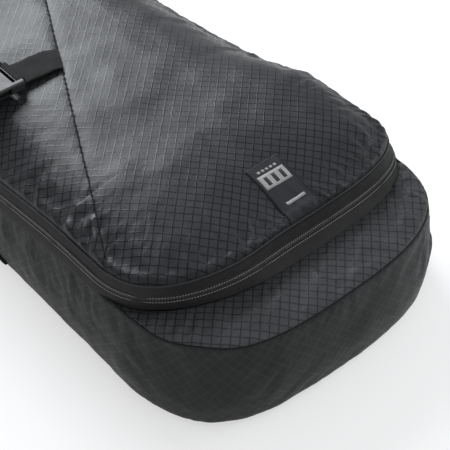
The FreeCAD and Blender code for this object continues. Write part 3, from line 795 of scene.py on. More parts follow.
def deck_creases():
    """Crumples of the tail deck, most of them at its right end."""
    rng = np.random.default_rng(41)
    lines = []
    for _ in range(46):
        x, y = rng.uniform(-150, 172), rng.uniform(-812, -742)
        turn = rng.uniform(-0.9, 0.9) + (0.9 if x > 90 else 0.0)
        step = np.array([math.cos(turn), math.sin(turn), 0]) * rng.uniform(8, 26)
        width, height = rng.uniform(2.2, 4.5), rng.uniform(-0.7, 0.9) * (2.0 if x > 105 else 0.8)
        lines.append((np.array([x, y, 0]), np.array([x, y, 0]) + step, width, height))
    for _ in range(26):
        x, y, turn = rng.uniform(96, 166), rng.uniform(-796, -690), rng.uniform(0.5, 2.2)
        step = np.array([math.cos(turn), math.sin(turn), 0]) * rng.uniform(9, 24)
        width, height = rng.uniform(2.6, 4.6), rng.uniform(0.7, 1.8)
        lines.append((np.array([x, y, 0]), np.array([x, y, 0]) + step, width, height))
    return lines


DECK_ROWS, DECK_FOLD_ROWS, DECK_GROWTH, DECK_FOLD_CAP = 34, 15, 0.02, 2.2
DECK_ENDS_CUT = 8  # columns
# How far the deck runs in under the zipper and how far it sinks there; its crown, as a share of its depth
# and at most
DECK_TUCK, DECK_SINK, DECK_CROWN, DECK_CROWN_MAX = 7, 2.2, 0.085, 5.0


def make_tail_deck():
    outer, inner = toe_line()[CAP], LOW[CAP]
    under = inner + unit(SEAM[CAP] - inner) * (1, 1, 0) * DECK_TUCK
    under[:, 2] = inner[:, 2] - DECK_SINK
    outer, under = (line[DECK_ENDS_CUT:-DECK_ENDS_CUT] for line in (outer, under))
    depth = np.linalg.norm(under - outer, axis=1)
    crown = np.minimum(depth * DECK_CROWN, DECK_CROWN_MAX)

    def sheet(share):
        points = outer + (under - outer) * share[..., None]
        points[..., 2] += crown * (np.sin(math.pi * share) ** 0.55)
        return points

    share = np.linspace(0, 1, DECK_ROWS)[:, None] ** 1.25
    points = sheet(share)
    coarse = sheet(np.linspace(0, 1, DECK_FOLD_ROWS)[:, None])
    folds = slack_folds(coarse, False, DECK_GROWTH, STIFF_BEND, DECK_FOLD_CAP) * np.clip(depth / 40, 0, 1)
    slack = between_rows(folds, np.broadcast_to(share * (DECK_FOLD_ROWS - 1), points.shape[:2]))
    normal = -normals_of(points)
    normal *= np.sign(normal[..., 2:3])
    edge = np.sin(math.pi * share) ** 0.4
    shift = creases(points * (1, 1, 0), deck_creases()) + ripple(points, "tail_deck") - slack
    tucks = creases(points, toe_tucks(False)) * smooth(0, 0.06, share)
    points = points + normal * (shift * edge + tucks)[..., None]
    finish_deck("tail", points)


def finish_deck(end, points):
    deck = grid(f"{end}_deck_cloth", points, points[..., :2] / 1000)
    thicken(deck, "deck")
    finish_piece(deck, "bag", "ripstop", "deck", f"{end}_deck")


HEAD_ROWS, HEAD_COLUMNS, HEAD_CROWN = 46, 111, 5
HEAD_GAP = 8  # from the lid's fold


def make_head_deck():
    y_fold = HINGE[1] + HEAD_GAP
    x = np.linspace(-1, 1, HEAD_COLUMNS)
    flat_top = 1 - np.abs(x) ** 6
    rows = []
    for share in np.linspace(0, 1, HEAD_ROWS):
        y = y_fold + (HALF_L - TOE_INSET - 0.4 - y_fold) * share
        over = np.clip((y - (HALF_L - END_DEPTH)) / (END_DEPTH - TOE_INSET), 0, 1)
        half = (HALF_W - LEG_INSET - 1) * (1 - over**END_POWER) ** (1 / END_POWER)
        z = head_top(y, RIM_END) + HEAD_CROWN * flat_top * math.sin(math.pi * share) ** 0.6
        rows.append(np.stack([x * half, np.full_like(x, y), z], 1))
    points = np.array(rows)
    points[..., 2] += ripple(points, "head_deck") * np.sin(np.linspace(0, math.pi, HEAD_ROWS))[:, None]
    finish_deck("head", points)


SEAM_REACH = 175  # how far from the end its seam runs down the legs


def end_seam(end, sign):
    """The sewn seam between an end deck and the wall."""
    plan, out, _ = plan_loop(4.0)
    keep = sign * plan[:, 1] > HALF_L - SEAM_REACH
    plan, out = plan[keep], out[keep]
    ring = plan - out * (toe_inset(plan[:, 0], plan[:, 1]) + 0.6)[:, None]
    from_leg = sign * ring[:, 1] - (HALF_L - SEAM_REACH)
    ring = ring[np.argsort(np.arctan2(from_leg + 1, ring[:, 0]))]
    z = head_top(ring[:, 1], np.full(len(ring), RIM_END)) + end_lift(ring[:, 1]) + 0.2
    cord = tube(f"{end}_seam_cord", np.concatenate([ring, z[:, None]], 1), 1.0, squash_z=0.8)
    finish_piece(cord, "bag", "piping", "thread_dark", f"{end}_piping")


# ---------------------------------------------------------------- zipper
ACROSS = unit(SEAM - LOW)
ALONG = unit(np.gradient(COIL, axis=0))
BAND_OUT = unit(np.cross(ACROSS, ALONG))
if BAND_OUT[BEFORE_CAP + CAP_COLUMNS][1] > 0:
    BAND_OUT = -BAND_OUT
ACROSS = unit(np.cross(BAND_OUT, ALONG))
if ACROSS[0][2] < 0:
    ACROSS = -ACROSS
# Half the gap between the tapes, the sewn ridge on each as its distance from the coil, width and height, and
# the dip that the teeth lie in
COIL_HALF = 0.5
RIDGE_AT, RIDGE_W, RIDGE_H = 2.3, 1.1, 1.0
COIL_DIP, COIL_DIP_W = 0.9, 0.7
TAPE_ROWS = 24
LENGTH_ALONG = lengths(COIL)
LOW_EDGE = LOW + BAND_OUT * 1.2


def make_tape(name, edge, side, body, node, tuck):
    """A zipper tape from its edge to the coil. side is -1 below the coil and 1 above it."""
    coil = COIL + ACROSS * side * COIL_HALF
    rows = []
    width = np.linalg.norm(coil - edge, axis=1)[:, None]
    for share in 1 - (1 - np.linspace(0, 1, TAPE_ROWS)) ** 1.6:
        from_coil = width * (1 - share)
        ridge = RIDGE_H * bell(from_coil - RIDGE_AT, RIDGE_W) - COIL_DIP * bell(from_coil, COIL_DIP_W)
        rows.append(edge * (1 - share) + coil * share + BAND_OUT * (0.5 * math.sin(math.pi * share) + ridge))
    if tuck:
        rows.insert(0, edge + ACROSS * side * 3.5 - BAND_OUT * 2.2)
    points = np.array(rows)
    loose = (np.linspace(0, 1, len(rows)) < 0.9)[:, None]
    points += BAND_OUT * (ripple(points, "tape") * loose)[..., None]
    tape = grid(name, points, cloth_uv(LENGTH_ALONG, np.linalg.norm(points - edge, axis=-1)))
    thicken(tape, "tape")
    turn_out(tape)
    finish_piece(tape, body, "zipper_tape", "tape", node)


def turn_out(obj):
    """Turns the faces of an open sheet so that they look away from the bag's middle line."""
    mesh = obj.data
    face = mesh.polygons[len(mesh.polygons) // 2]
    centre = face.center
    if face.normal.dot(Vector((centre.x, centre.y * 0.5, 0.02))) < 0:
        mesh.flip_normals()


TOOTH_PITCH, STITCH_PITCH = 1.55, 2.7


def make_coils():
    """The coil's teeth and the stitch line on each tape's ridge, below and above the coil."""
    teeth_at, across, out = (evenly(values, COIL, TOOTH_PITCH) for values in (COIL, ACROSS, BAND_OUT))
    stitch_at, stitch_out = (evenly(values, COIL, STITCH_PITCH) for values in (COIL, BAND_OUT))
    for place, side, body, edge in (("lower", -1, "bag", LOW_EDGE), ("upper", 1, "lid", SEAM)):
        root = teeth_at + out * 0.1 + (np.roll(teeth_at, -1, 0) - teeth_at) * (0.5 * (side > 0))
        start, stop = root - across * side * 0.5, root + across * side * 1.7
        teeth = strip_boxes(f"zipper_teeth_{place}", start, stop, unit(out), 0.95, 0.75)
        finish_piece(teeth, body, "zipper_coil", "coil", f"zipper_coil_{place}")
        coil = COIL + ACROSS * side * COIL_HALF
        width = np.linalg.norm(edge - coil, axis=1)[:, None]
        bow = 0.5 * np.sin(math.pi * RIDGE_AT / width)
        line = coil + (edge - coil) / width * RIDGE_AT + BAND_OUT * (RIDGE_H + bow + 0.1)
        root = evenly(line, COIL, STITCH_PITCH)
        stop = root + np.gradient(stitch_at, axis=0) * 0.66
        up = unit(stitch_out)
        stitches(f"zipper_stitch_{place}", root, stop, up, 0.9, 0.3, body, "zipper_coil", "thread_light")


# ---------------------------------------------------------------- lid
CORNER_R = 16.0


def lid_edge():
    """The lid's whole edge: the seam above the zipper, then round the fold at the head."""
    body = SEAM + BAND_OUT * 1.3
    right = body[-1]
    fold_y, fold_z = HINGE[1] - 3, HINGE[2] + 0.6
    corner = []
    for share in np.linspace(0, 1, 9)[1:]:
        a = share * math.pi / 2
        x = right[0] - CORNER_R * (1 - math.cos(a))
        y = fold_y - CORNER_R * (1 - math.sin(a))
        corner.append((x, y, right[2] + (fold_z - right[2]) * smooth(0, 1, share)))
    corner = np.array(corner)
    across = np.linspace(corner[-1][0], -corner[-1][0], 84)[1:-1]
    fold = np.stack([across, np.full_like(across, fold_y), np.full_like(across, fold_z)], 1)
    return np.concatenate([body, corner, fold, corner[::-1] * (-1, 1, 1)])


LID_EDGE = lid_edge()
LID_ROWS, LAYER_ROWS, LID_GROWTH, LID_FOLD_CAP = 60, 24, 0.02, 2.2
FOAM_DROP, LINING_DROP = 6.0, 11.0
# The roll of cloth beside the lid's edge, and the low welt beside each diagonal seam: height, place and width
HEM_ROLL, HEM_ROLL_AT, HEM_ROLL_W = 3.0, 5.0, 5.5
SEAM_WELT, SEAM_WELT_AT, SEAM_WELT_W, PUCKER_W = 0.2, 13.0, 9.0, 14.0
# The sewn groove of the diagonal seams, the band beside the edge where the cloth is simulated, how softly
# the lid's shoulders turn at the head, and the strength of the folds in the table below
SEAM_SINK, SEAM_SPREAD = 0.7, 3.2
BAND_DEPTH, BAND_STEP = 112.0, 4.0
HIP_SOFT = 26
CORNER_SHARE = 0.52


def lid_frame():
    """For each column: its point on the spine, the way from there to the edge, and the rise's spread."""
    x, y = LID_EDGE[:, 0], LID_EDGE[:, 1]
    spine = np.zeros((len(LID_EDGE), 2))
    spine[:, 1] = np.clip(np.concatenate([SEAM[:, 1], y[len(SEAM):]]), SPINE_TAIL, SPINE_HEAD)
    outward = unit(LID_EDGE[:, :2] - spine)
    reach_right = REACH_RIGHT_TAIL + (REACH_RIGHT - REACH_RIGHT_TAIL) * smooth(600, 500, np.abs(y))
    reach_side = np.where(x < 0, REACH_LEFT, reach_right)
    past = smooth(0.15, 0.95, np.abs(outward[:, 1]))
    reach_end = np.where(y < 0, REACH_TAIL, REACH_HEAD)
    return spine, outward, reach_side * (1 - past) + reach_end * past


# Sharp folds where the cloth is drawn in round the tail: start, end, width and height
CORNER_FOLDS = [
    ((-166, -612, 134), (-163, -600, 150), 2.6, 2.4),
    ((-160, -600, 138), (-170, -636, 132), 2.8, 3.2),
    ((-146, -600, 146), (-166, -640, 134), 2.6, 2.6),
    ((-148, -633, 144), (-170, -653, 132), 2.6, 3.4),
    ((-150, -650, 142), (-169, -668, 133), 2.4, 3.0),
    ((-132, -640, 150), (-158, -672, 138), 3.0, 2.6),
    ((-124, -664, 150), (-152, -690, 138), 3.0, 2.2),
    ((-120, -690, 148), (-140, -714, 137), 3.0, 2.0),
    ((-95, -704, 148), (-112, -732, 137), 3.2, 3.0),
    ((-80, -715, 148), (-82, -742, 137), 2.2, 4.6),
    ((-62, -716, 149), (-65, -742, 137), 2.2, 4.4),
    ((-48, -720, 149), (-50, -742, 137), 2.2, 4.2),
    ((-35, -724, 149), (-37, -742, 137), 2.2, 3.6),
    ((62, -712, 150), (66, -738, 135), 2.8, 2.0),
    ((92, -704, 150), (100, -730, 134), 2.8, 2.6),
    ((112, -700, 148), (124, -724, 134), 2.6, 2.8),
    ((124, -690, 146), (140, -712, 134), 2.6, 3.0),
    ((132, -676, 146), (152, -694, 134), 2.6, 2.6),
]


def lid_creases():
    """Folds that start at the lid's seam. Those on the left run the way the cloth's grid pulls."""
    rng = np.random.default_rng(7)
    lines = []
    i = 0
    while i < len(SEAM):
        x, y, z = SEAM[i]
        front = smooth(-640, -700, y)
        if x < -20:
            side_way, front_way = unit(np.array([0.62, 0.78])), unit(np.array([0.25, 0.97]))
        else:
            side_way, front_way = np.array([-1.0, 0.45]), np.array([-0.5, 1.0])
        way = unit(side_way * (1 - front) + front_way * front) * rng.uniform(13, 46 if x < 0 else 26)
        size = rng.uniform(0.7, 2.3) * (1.0 if x < 0 or y < -640 else 0.6)
        start = np.array([x, y, z + 3]) + np.array([way[0], way[1], 0]) * 0.15
        stop = start + (way[0], way[1], 9 + 6 * (1 - front))
        lines.append((start, stop, rng.uniform(2.2, 4.0), size * 1.5))
        i += int(rng.uniform(2.5, 8.5) * (1 if y < -480 else 1.6))
    return lines


def seam_lines():
    """The two diagonal seams, as a point and the direction across each."""
    across = unit(np.array([SEAM_SLOPE, -1.0]))
    return [(np.array([SEAM_X, -STRAP_Y]), across * (1, 1)), (np.array([SEAM_X, STRAP_Y]), across * (1, -1))]


def seam_distance(points):
    """Distance in plan from the nearer diagonal seam, and the side that is towards the ends."""
    near = None
    for origin, across in seam_lines():
        away = (points[..., :2] - origin) @ across
        near = away if near is None else np.where(np.abs(away) < np.abs(near), away, near)
    return near


def lid_points(t, drop=0.0):
    """The plain dome at shares t of the way from each column's edge to the spine, and the distance in."""
    spine, _, reach = lid_frame()
    edge, edge_y, edge_z = LID_EDGE[:, :2], LID_EDGE[:, 1], LID_EDGE[:, 2]
    width = np.linalg.norm(edge - spine, axis=1)
    plan = edge + (spine - edge) * t[..., None]
    away = width * t
    rise = (1 - np.exp(-away / reach)) / (1 - np.exp(-width / reach))
    at_head = smooth(SPINE_HEAD - 120, SPINE_HEAD - 40, edge_y) * smooth(0.04, 0.3, t)
    rise = rise + (average_along(rise, HIP_SOFT, True) - rise) * at_head
    top, base = TOP - 1.2 - drop, edge_z - drop * 0.2
    z = base + (top - base) * rise
    return np.concatenate([plan, z[..., None]], -1), away


def lid_folds(away):
    """The gathers beside the lid's seam, for points at a distance in from each column's edge."""
    spine, _, _ = lid_frame()
    width = np.linalg.norm(LID_EDGE[:, :2] - spine, axis=1)
    marks = np.arange(0, BAND_DEPTH, BAND_STEP)
    band, _ = lid_points(marks[:, None] / width)
    folds = slack_folds(band, True, LID_GROWTH, THIN_BEND, LID_FOLD_CAP, 6)
    folds *= (1 - 0.75 * smooth(16, 50, marks) - 0.25 * smooth(50, 105, marks))[:, None]
    return between_rows(folds, away / BAND_STEP)


def lid_surface(drop=0.0, rows=LID_ROWS, plain=False):
    """Rows from the edge to the spine, with the cloth's flat coordinates."""
    spine, outward, _ = lid_frame()
    t = np.linspace(0, 1, rows)[:, None] ** 1.7
    points, away = lid_points(t, drop)
    gaps = np.linalg.norm(np.diff(points, axis=0), axis=-1)
    length = np.concatenate([np.zeros((1, len(LID_EDGE))), np.cumsum(gaps, 0)])
    uv = (spine + outward * (length[-1] - length)[..., None]) / 1000
    if plain:
        return points, uv
    normal = normals_of(points)
    normal *= np.sign(normal[..., 2:3] + 1e-6)
    upright = smooth(0.8, 1.0, t)[..., None]
    normal = unit(normal * (1 - upright) + np.array([0, 0, 1.0]) * upright)
    roll = HEM_ROLL * bell(away - HEM_ROLL_AT, HEM_ROLL_W) * smooth(0, 3, away)
    folds = creases(points, lid_creases()) + CORNER_SHARE * creases(points, CORNER_FOLDS) + lid_folds(away)
    seam = np.abs(seam_distance(points))
    welt = SEAM_WELT * bell(seam - SEAM_WELT_AT, SEAM_WELT_W)
    pucker = bell(seam, PUCKER_W) * ripple(points, "seam_pucker")
    keep = smooth(0, 14, away)
    height = roll + folds * smooth(0, 5, away) + (ripple(points, "lid") + welt + pucker) * keep
    return points + normal * height[..., None], uv


def cut_panel(source, name, planes):
    """A copy of the lid's mesh, kept on the inner side of each plane (point, outward direction)."""
    mesh = to_bmesh(source)
    for point, outward in planes:
        geometry = mesh.verts[:] + mesh.edges[:] + mesh.faces[:]
        co = Vector((point[0] / 1000, point[1] / 1000, 0))
        no = Vector((outward[0], outward[1], 0))
        bmesh.ops.bisect_plane(mesh, geom=geometry, dist=1e-6, plane_co=co, plane_no=no, clear_outer=True)
    for vert in mesh.verts:
        away = float(seam_distance(np.array(vert.co) * 1000))
        vert.co.z -= SEAM_SINK / 1000 * bell(away, SEAM_SPREAD)
    return from_bmesh(name, mesh)


def make_lid():
    """The three panels, and a tree of the whole lid that other pieces are laid on."""
    whole = grid("lid_whole", *lid_surface(), closed=True)
    mesh = to_bmesh(whole)
    bmesh.ops.remove_doubles(mesh, verts=mesh.verts, dist=2e-5)
    bmesh.ops.recalc_face_normals(mesh, faces=mesh.faces)
    if sum(f.normal.z for f in mesh.faces) < 0:
        bmesh.ops.reverse_faces(mesh, faces=mesh.faces)
    mesh.to_mesh(whole.data)
    tree = BVHTree.FromBMesh(mesh)
    mesh.free()
    (tail_point, tail_out), (head_point, head_out) = seam_lines()
    panels = {
        "middle": [(tail_point, tail_out), (head_point, head_out)],
        "tail": [(tail_point, -tail_out), ((0, 0), (0, 1))],
        "head": [(head_point, -head_out), ((0, 0), (0, -1))],
    }
    for end, planes in panels.items():
        panel = cut_panel(whole, f"lid_cloth_{end}", planes)
        thicken(panel, "lid")
        panel.modifiers.new("even shading", "WEIGHTED_NORMAL").keep_sharp = True
        finish_piece(panel, "lid", "ripstop", "lid", f"lid_panel_{end}")
    bpy.data.objects.remove(whole)
    return tree


def make_lid_layers():
    """The foam and the lining under the panels."""
    middle = (SPINE_TAIL + SPINE_HEAD) / 2
    _, uv = lid_surface(LINING_DROP, LAYER_ROWS, plain=True)
    for name, drop, shrink, kind in (
        ("lid_foam_layer", FOAM_DROP, 0.985, "foam"), ("lid_lining_cloth", LINING_DROP, 0.965, "lining"),
    ):
        sheet, _ = lid_surface(drop, LAYER_ROWS, plain=True)
        sheet[..., 0] *= shrink
        sheet[..., 1] = middle + (sheet[..., 1] - middle) * (1 - (1 - shrink) * 0.3)
        sheet[..., 2] += ripple(sheet, "lid_layer")
        layer = grid(name, sheet, uv, closed=True)
        thicken(layer, f"lid_{kind}")
        finish_piece(layer, "lid", kind, kind, f"lid_{kind}")


def drape(tree, x, y, lift=0.0):
    """The point on the lid at a plan position, lifted off it, in millimetres."""
    hit, normal, _, _ = tree.ray_cast(Vector((x / 1000, y / 1000, 1.0)), Vector((0, 0, -1)))
    if hit is None:
        return np.array([x, y, EDGE_MID])
    return np.array(hit) * 1000 + np.array(normal) * lift


def soften(path, times):
    """Averages each inner point with its neighbours."""
    for _ in range(times):
        path[1:-1] = (path[:-2] + 2 * path[1:-1] + path[2:]) / 4
    return path


# The radius of the diagonal seams' cords and of the hem; half the length and width that the seams are laid
# over, and the step along them; the pitch of the hem's stitches
SEAM_CORD, HEM_CORD = 0.6, 1.1
SEAM_HALF_LENGTH, SEAM_HALF_SPAN, SEAM_STEP, HEM_PITCH = 900, 166, 3.0, 3.1


def make_lid_seams(tree):
    for name, (origin, across) in zip(("tail", "head"), seam_lines()):
        marks = np.arange(-SEAM_HALF_LENGTH, SEAM_HALF_LENGTH, SEAM_STEP)[:, None]
        line = origin + np.array([-across[1], across[0]]) * marks
        sign = -1 if origin[1] < 0 else 1
        inside = [(x, y) for x, y in line if abs(x) < SEAM_HALF_SPAN and sign * y > 0]
        above = [(x, y) for x, y in inside if drape(tree, x, y)[2] > EDGE_MID + 2]
        path = np.array([drape(tree, x, y, 0.1 - SEAM_SINK) for x, y in above])
        cord = tube(f"lid_seam_{name}", soften(path, 6), SEAM_CORD, 6)
        finish_piece(cord, "lid", "piping", "thread_dark", f"seam_tape_{name}")
    cord = tube("lid_edge_hem", SEAM + BAND_OUT * 1.5 - ACROSS * 0.3, HEM_CORD)
    finish_piece(cord, "lid", "piping", "lid_hem", "lid_edge_binding")
    base, across, out = (evenly(values, SEAM, HEM_PITCH) for values in (SEAM, ACROSS, BAND_OUT))
    root = base - across * 2.6 + out * 0.85
    stop = root + np.gradient(base, axis=0) * 0.6
    stitches("lid_edge_stitch", root, stop, unit(out), 0.7, 0.35, "lid", "piping", "thread_dark")


LABEL_LENGTH = 66
SMOOTHED_ROWS = 8  # a finer patch than this is smoothed


def patch(tree, name, x_range, y_range, lift, rows, columns, material, kind, *nodes):
    """A thin cloth patch that is laid on tree over a rectangle of the plan."""
    xs, ys = np.linspace(*x_range, columns), np.linspace(*y_range, rows)
    points = np.array([[drape(tree, x, y, lift) for x in xs] for y in ys])
    if rows > SMOOTHED_ROWS:
        for _ in range(3):
            in_rows = points[:-2, 1:-1] + points[2:, 1:-1]
            points[1:-1, 1:-1] = (in_rows + points[1:-1, :-2] + points[1:-1, 2:]) / 4
    piece = grid(name, points, points[..., :2] / 1000)
    thicken(piece, kind)
    if piece.data.polygons[0].normal.z < 0:
        piece.data.flip_normals()
    return finish_piece(piece, "lid", "label", material, *nodes)


def make_label(tree):
    """A woven label with a pale block, plain bars and a plain line; it has no lettering."""
    x0, x1 = LABEL_LO[0], LABEL_HI[0]
    y0 = SEAM[BEFORE_CAP + CAP_COLUMNS][1] - 0.6
    y1 = y0 + LABEL_LENGTH
    label = patch(tree, "label_patch", (x0, x1), (y0, y1), 1.0, 46, 30, "label", "label", "label")
    mesh = to_bmesh(label)
    label_tree = BVHTree.FromBMesh(mesh)
    mesh.free()
    block, line = (x0 + 3.5, x1 - 4.5), (x0 + (x1 - x0) * 0.24, x1 - (x1 - x0) * 0.18)
    marks = [("label_block", block, (y1 - 29, y1 - 13), "label_pale", 0.25)]
    for k, a in enumerate(x0 + 9 + k * 9.6 for k in range(3)):
        marks.append((f"label_bar_{k}", (a, a + 4.2), (y1 - 26, y1 - 16), "label_dark", 0.4))
    for k, a in enumerate(x0 + 8 + k * 5.2 for k in range(5)):
        marks.append((f"label_dash_{k}", (a, a + 3.2), (y1 - 10.4, y1 - 7.8), "label_pale", 0.25))
    marks.append(("label_line", line, (y0 + 15, y0 + 18.2), "label_pale", 0.25))
    for name, x_range, y_range, material, lift in marks:
        columns, rows = (max(2, int((b - a) / 2)) for a, b in (x_range, y_range))
        patch(label_tree, name, x_range, y_range, lift, rows, columns, material, "label_mark")
    corners = [(x0 + 1, y0 + 1), (x0 + 1, y1 - 1), (x1 - 1, y1 - 1), (x1 - 1, y0 + 1)]
    path = []
    for (ax, ay), (bx, by) in zip(corners, corners[1:]):
        count = max(2, int(math.hypot(bx - ax, by - ay) / 1.5))
        shares = np.linspace(0, 1, count)
        path += [drape(label_tree, ax + (bx - ax) * t, ay + (by - ay) * t, 0.15) for t in shares]
    path = np.array(path)
    base = evenly(path, path, 2.4)
    up = np.tile([0, -0.3, 0.95], (len(base), 1))
    stop = base + np.gradient(base, axis=0) * 0.62
    stitches("label_stitch", base, stop, up, 0.5, 0.25, "lid", "label", "thread_dark")


# ---------------------------------------------------------------- straps and handles
RIBBON_COLUMNS = 16
HALF_TURN = np.linspace(-0.5 * math.pi, 0.5 * math.pi, 9)
# Thickness of the webbing at each place
FIXED_WEB, WRAP_WEB, ADJUST_WEB, TAB_WEB, HANDLE_WEB = 1.7, 1.5, 1.6, 1.3, 2.6
HANDLE_WEB_HALF = 6.0


def ribbon(name, path, thickness, trim=None, wave=0.25, seed=0):
    """Strap webbing along a path, with its width along Y. trim moves each row's ends along the path."""
    path = np.asarray(path, float)
    axis = np.array([0, 1.0, 0])
    along = unit(np.gradient(path, axis=0))
    up = unit(np.cross(along, axis))
    across = np.linspace(-1, 1, RIBBON_COLUMNS)
    top = path[:, None] + (across[:, None] * WEB_HALF * axis)[None]
    if trim is not None:
        top = top + trim(np.linspace(0, 1, len(path))[:, None], across[None])[..., None] * along[:, None]
    top = top + up[:, None] * (noise(top, 30, seed) * wave)[..., None]
    edge = (1 - np.abs(across) ** 8)[None, :, None]
    half = up[:, None] * thickness / 2 * (0.35 + 0.65 * edge)
    loop = np.concatenate([top + half, (top - half)[:, ::-1]], 1)
    uv = cloth_uv(np.concatenate([across, across[::-1]]) * WEB_HALF, lengths(path)[:, None])
    rows, count = loop.shape[:2]
    faces = grid_faces(rows, count, True).tolist()
    for row, flip in ((0, False), (rows - 1, True)):
        a = row * count
        for k in range(RIBBON_COLUMNS - 1):
            quad = [a + k, a + k + 1, a + count - 2 - k, a + count - 1 - k]
            faces.append(quad[::-1] if flip else quad)
    return new_mesh(name, loop, faces, uv)


def spline(points, count):
    """A smooth line through a few corner points, by repeated averaging of a dense polyline."""
    points = np.asarray(points, float)
    length = lengths(points)
    return soften(read_at(points, length, np.linspace(0, length[-1], count)), count // 6)


# The webbing's bend round the female half's bar: how far the bar stands in, and the bend's half depth and
# half height
BAR_INSET, BAR_BEND_X, BAR_BEND_Z = 2.6, 2.9, 3.1


def make_straps():
    for name, sign in (("tail", -1), ("head", 1)):
        make_fixed_webbing(name, sign)
        make_wrap(name, sign * STRAP_Y)
        make_adjuster(name, sign * STRAP_Y)


def make_fixed_webbing(name, sign):
    """From the diagonal seam to the buckle."""
    y = sign * STRAP_Y
    lo, hi = box_mm(f"strap_fixed_{name}")
    corners = [(lo[0], STRAP_Z), (lo[0] + 18, STRAP_Z - 0.8)]
    corners += [(hi[0] - 14, STRAP_Z - 1.2), (hi[0] + 1, TOP - 1.2)]
    path = spline([(x, y, z) for x, z in corners], 46)

    def trim(share, across):
        return across * -sign * WEB_HALF / SEAM_SLOPE * share

    strap = ribbon(f"strap_webbing_{name}", path, FIXED_WEB, trim=trim, seed=61)
    finish_piece(strap, "lid", "webbing", "webbing", f"strap_fixed_{name}")
    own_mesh(strap)


def make_wrap(name, y):
    """The webbing's loop round the female half's bar."""
    female_lo, female_hi = box_mm(f"buckle_female_{name}")
    end_x = box_mm(f"strap_loop_{name}")[1][0]
    mid_z = (female_lo[2] + female_hi[2]) / 2
    bar_x = female_hi[0] - BAR_INSET
    path = [(end_x + 0.1, y, mid_z - 3.4)]
    path += [(bar_x - BAR_BEND_X * math.cos(a), y, mid_z + BAR_BEND_Z * math.sin(a)) for a in HALF_TURN]
    path += [(end_x + 1.6, y, mid_z + 3.0), (end_x + 2.2, y, STRAP_Z + 2.1)]
    loop = ribbon(f"strap_wrap_{name}", path, WRAP_WEB, wave=0.1, seed=62)
    finish_piece(loop, f"buckle_{name}", "webbing", "webbing", f"strap_loop_{name}")


def make_adjuster(name, y):
    """The webbing from the male half down to the lid's edge."""
    lo, hi = box_mm(f"strap_adjust_{name}")
    top_z, edge_x = hi[2] - 0.8, lo[0] + 0.8
    corners = [(hi[0], top_z), (hi[0] - 10, top_z), (hi[0] - 14, top_z - 6), (edge_x + 5, top_z - 18)]
    corners += [(edge_x + 2, lo[2] + 30), (edge_x, lo[2])]
    path = spline([(x, y, z) for x, z in corners], 60)
    adjust = ribbon(f"strap_tail_web_{name}", path, ADJUST_WEB, seed=63)
    finish_piece(adjust, "lid", "webbing", "webbing", f"strap_adjust_{name}")


def make_handles():
    """Each handle hangs in the plane of its wall: long_axis runs along the wall."""
    for name, long_axis in (("left", 1), ("right", 1), ("head", 0)):
        lo, hi = box_mm(f"handle_strap_{name}")
        grip_lo, grip_hi = box_mm(f"handle_grip_{name}")
        out = (lo[1 - long_axis] + hi[1 - long_axis]) / 2
        half = (hi[long_axis] - lo[long_axis]) / 2 - HANDLE_WEB_HALF
        top, low = hi[2], lo[2] + HANDLE_WEB_HALF
        line = [(-half, top), (-half, low + 20), (-half + 5, low + 6), (-half + 20, low), (0, low - 0.5)]
        line += [(-a, b) for a, b in line[-2::-1]]
        line = spline([(a, b, 0) for a, b in line], 120)
        path = np.zeros((len(line), 3))
        path[:, long_axis], path[:, 2], path[:, 1 - long_axis] = line[:, 0], line[:, 1], out
        strip = flat_loop(f"handle_web_{name}", path, 1 - long_axis)
        finish_piece(strip, f"handle_{name}", "webbing", "webbing", f"handle_strap_{name}")
        grip_half = (grip_hi[long_axis] - grip_lo[long_axis]) / 2
        grip = grip_wrap(f"handle_wrap_{name}", grip_half, (grip_lo[2] + grip_hi[2]) / 2, out, long_axis)
        finish_piece(grip, f"handle_{name}", "grip", "sleeve", f"handle_grip_{name}")
        make_patches(name, half, long_axis, 1 if out > 0 else -1)


# A webbing's section, as shares of its half width and half thickness
WEB_SECTION = ((-1, -0.7), (-0.9, -1), (0.9, -1), (1, -0.7), (1, 0.7), (0.9, 1), (-0.9, 1), (-1, 0.7))


def flat_loop(name, path, depth_axis):
    """Handle webbing that bends in its own plane, with its thickness along depth_axis."""
    depth = np.eye(3)[depth_axis]
    side = unit(np.cross(unit(np.gradient(path, axis=0)), depth))
    wide, thick = side * HANDLE_WEB_HALF, depth * HANDLE_WEB / 2
    points = np.stack([path + wide * a + thick * b for a, b in WEB_SECTION], 1)
    uv = cloth_uv(np.array([a for a, _ in WEB_SECTION]) * HANDLE_WEB_HALF, lengths(path)[:, None])
    return new_mesh(name, points, capped_faces(len(path), len(WEB_SECTION)), uv)


SLEEVE_HALF_HEIGHT, SLEEVE_HALF_DEPTH = 9.0, 4.0
SLEEVE_ROWS, SLEEVE_SIDES = 64, 28


def grip_wrap(name, half, z, out, long_axis):
    """A padded sleeve round the middle of a handle."""
    marks = np.linspace(-half, half, SLEEVE_ROWS)[:, None]
    turn = np.linspace(0, 2 * math.pi, SLEEVE_SIDES, endpoint=False)
    end = 1 - 0.22 * (np.abs(marks) / half) ** 10
    points = np.zeros((SLEEVE_ROWS, SLEEVE_SIDES, 3))
    points[..., long_axis] = marks
    for axis, middle, reach, wave in (
        (2, z, SLEEVE_HALF_HEIGHT, np.sin(turn)), (1 - long_axis, out, SLEEVE_HALF_DEPTH, np.cos(turn)),
    ):
        points[..., axis] = middle + reach * end * np.sign(wave) * np.abs(wave) ** 0.7
    points += ripple(points, "sleeve")[..., None] * unit(points - np.array([0, 0, z]))
    return new_mesh(name, points, capped_faces(SLEEVE_ROWS, SLEEVE_SIDES), cloth_uv(turn * 5, marks))


PATCH_HALF, PATCH_INSET, PATCH_ROWS, PATCH_COLUMNS = 14, 3, 15, 13
STITCH_STEP = 2.6


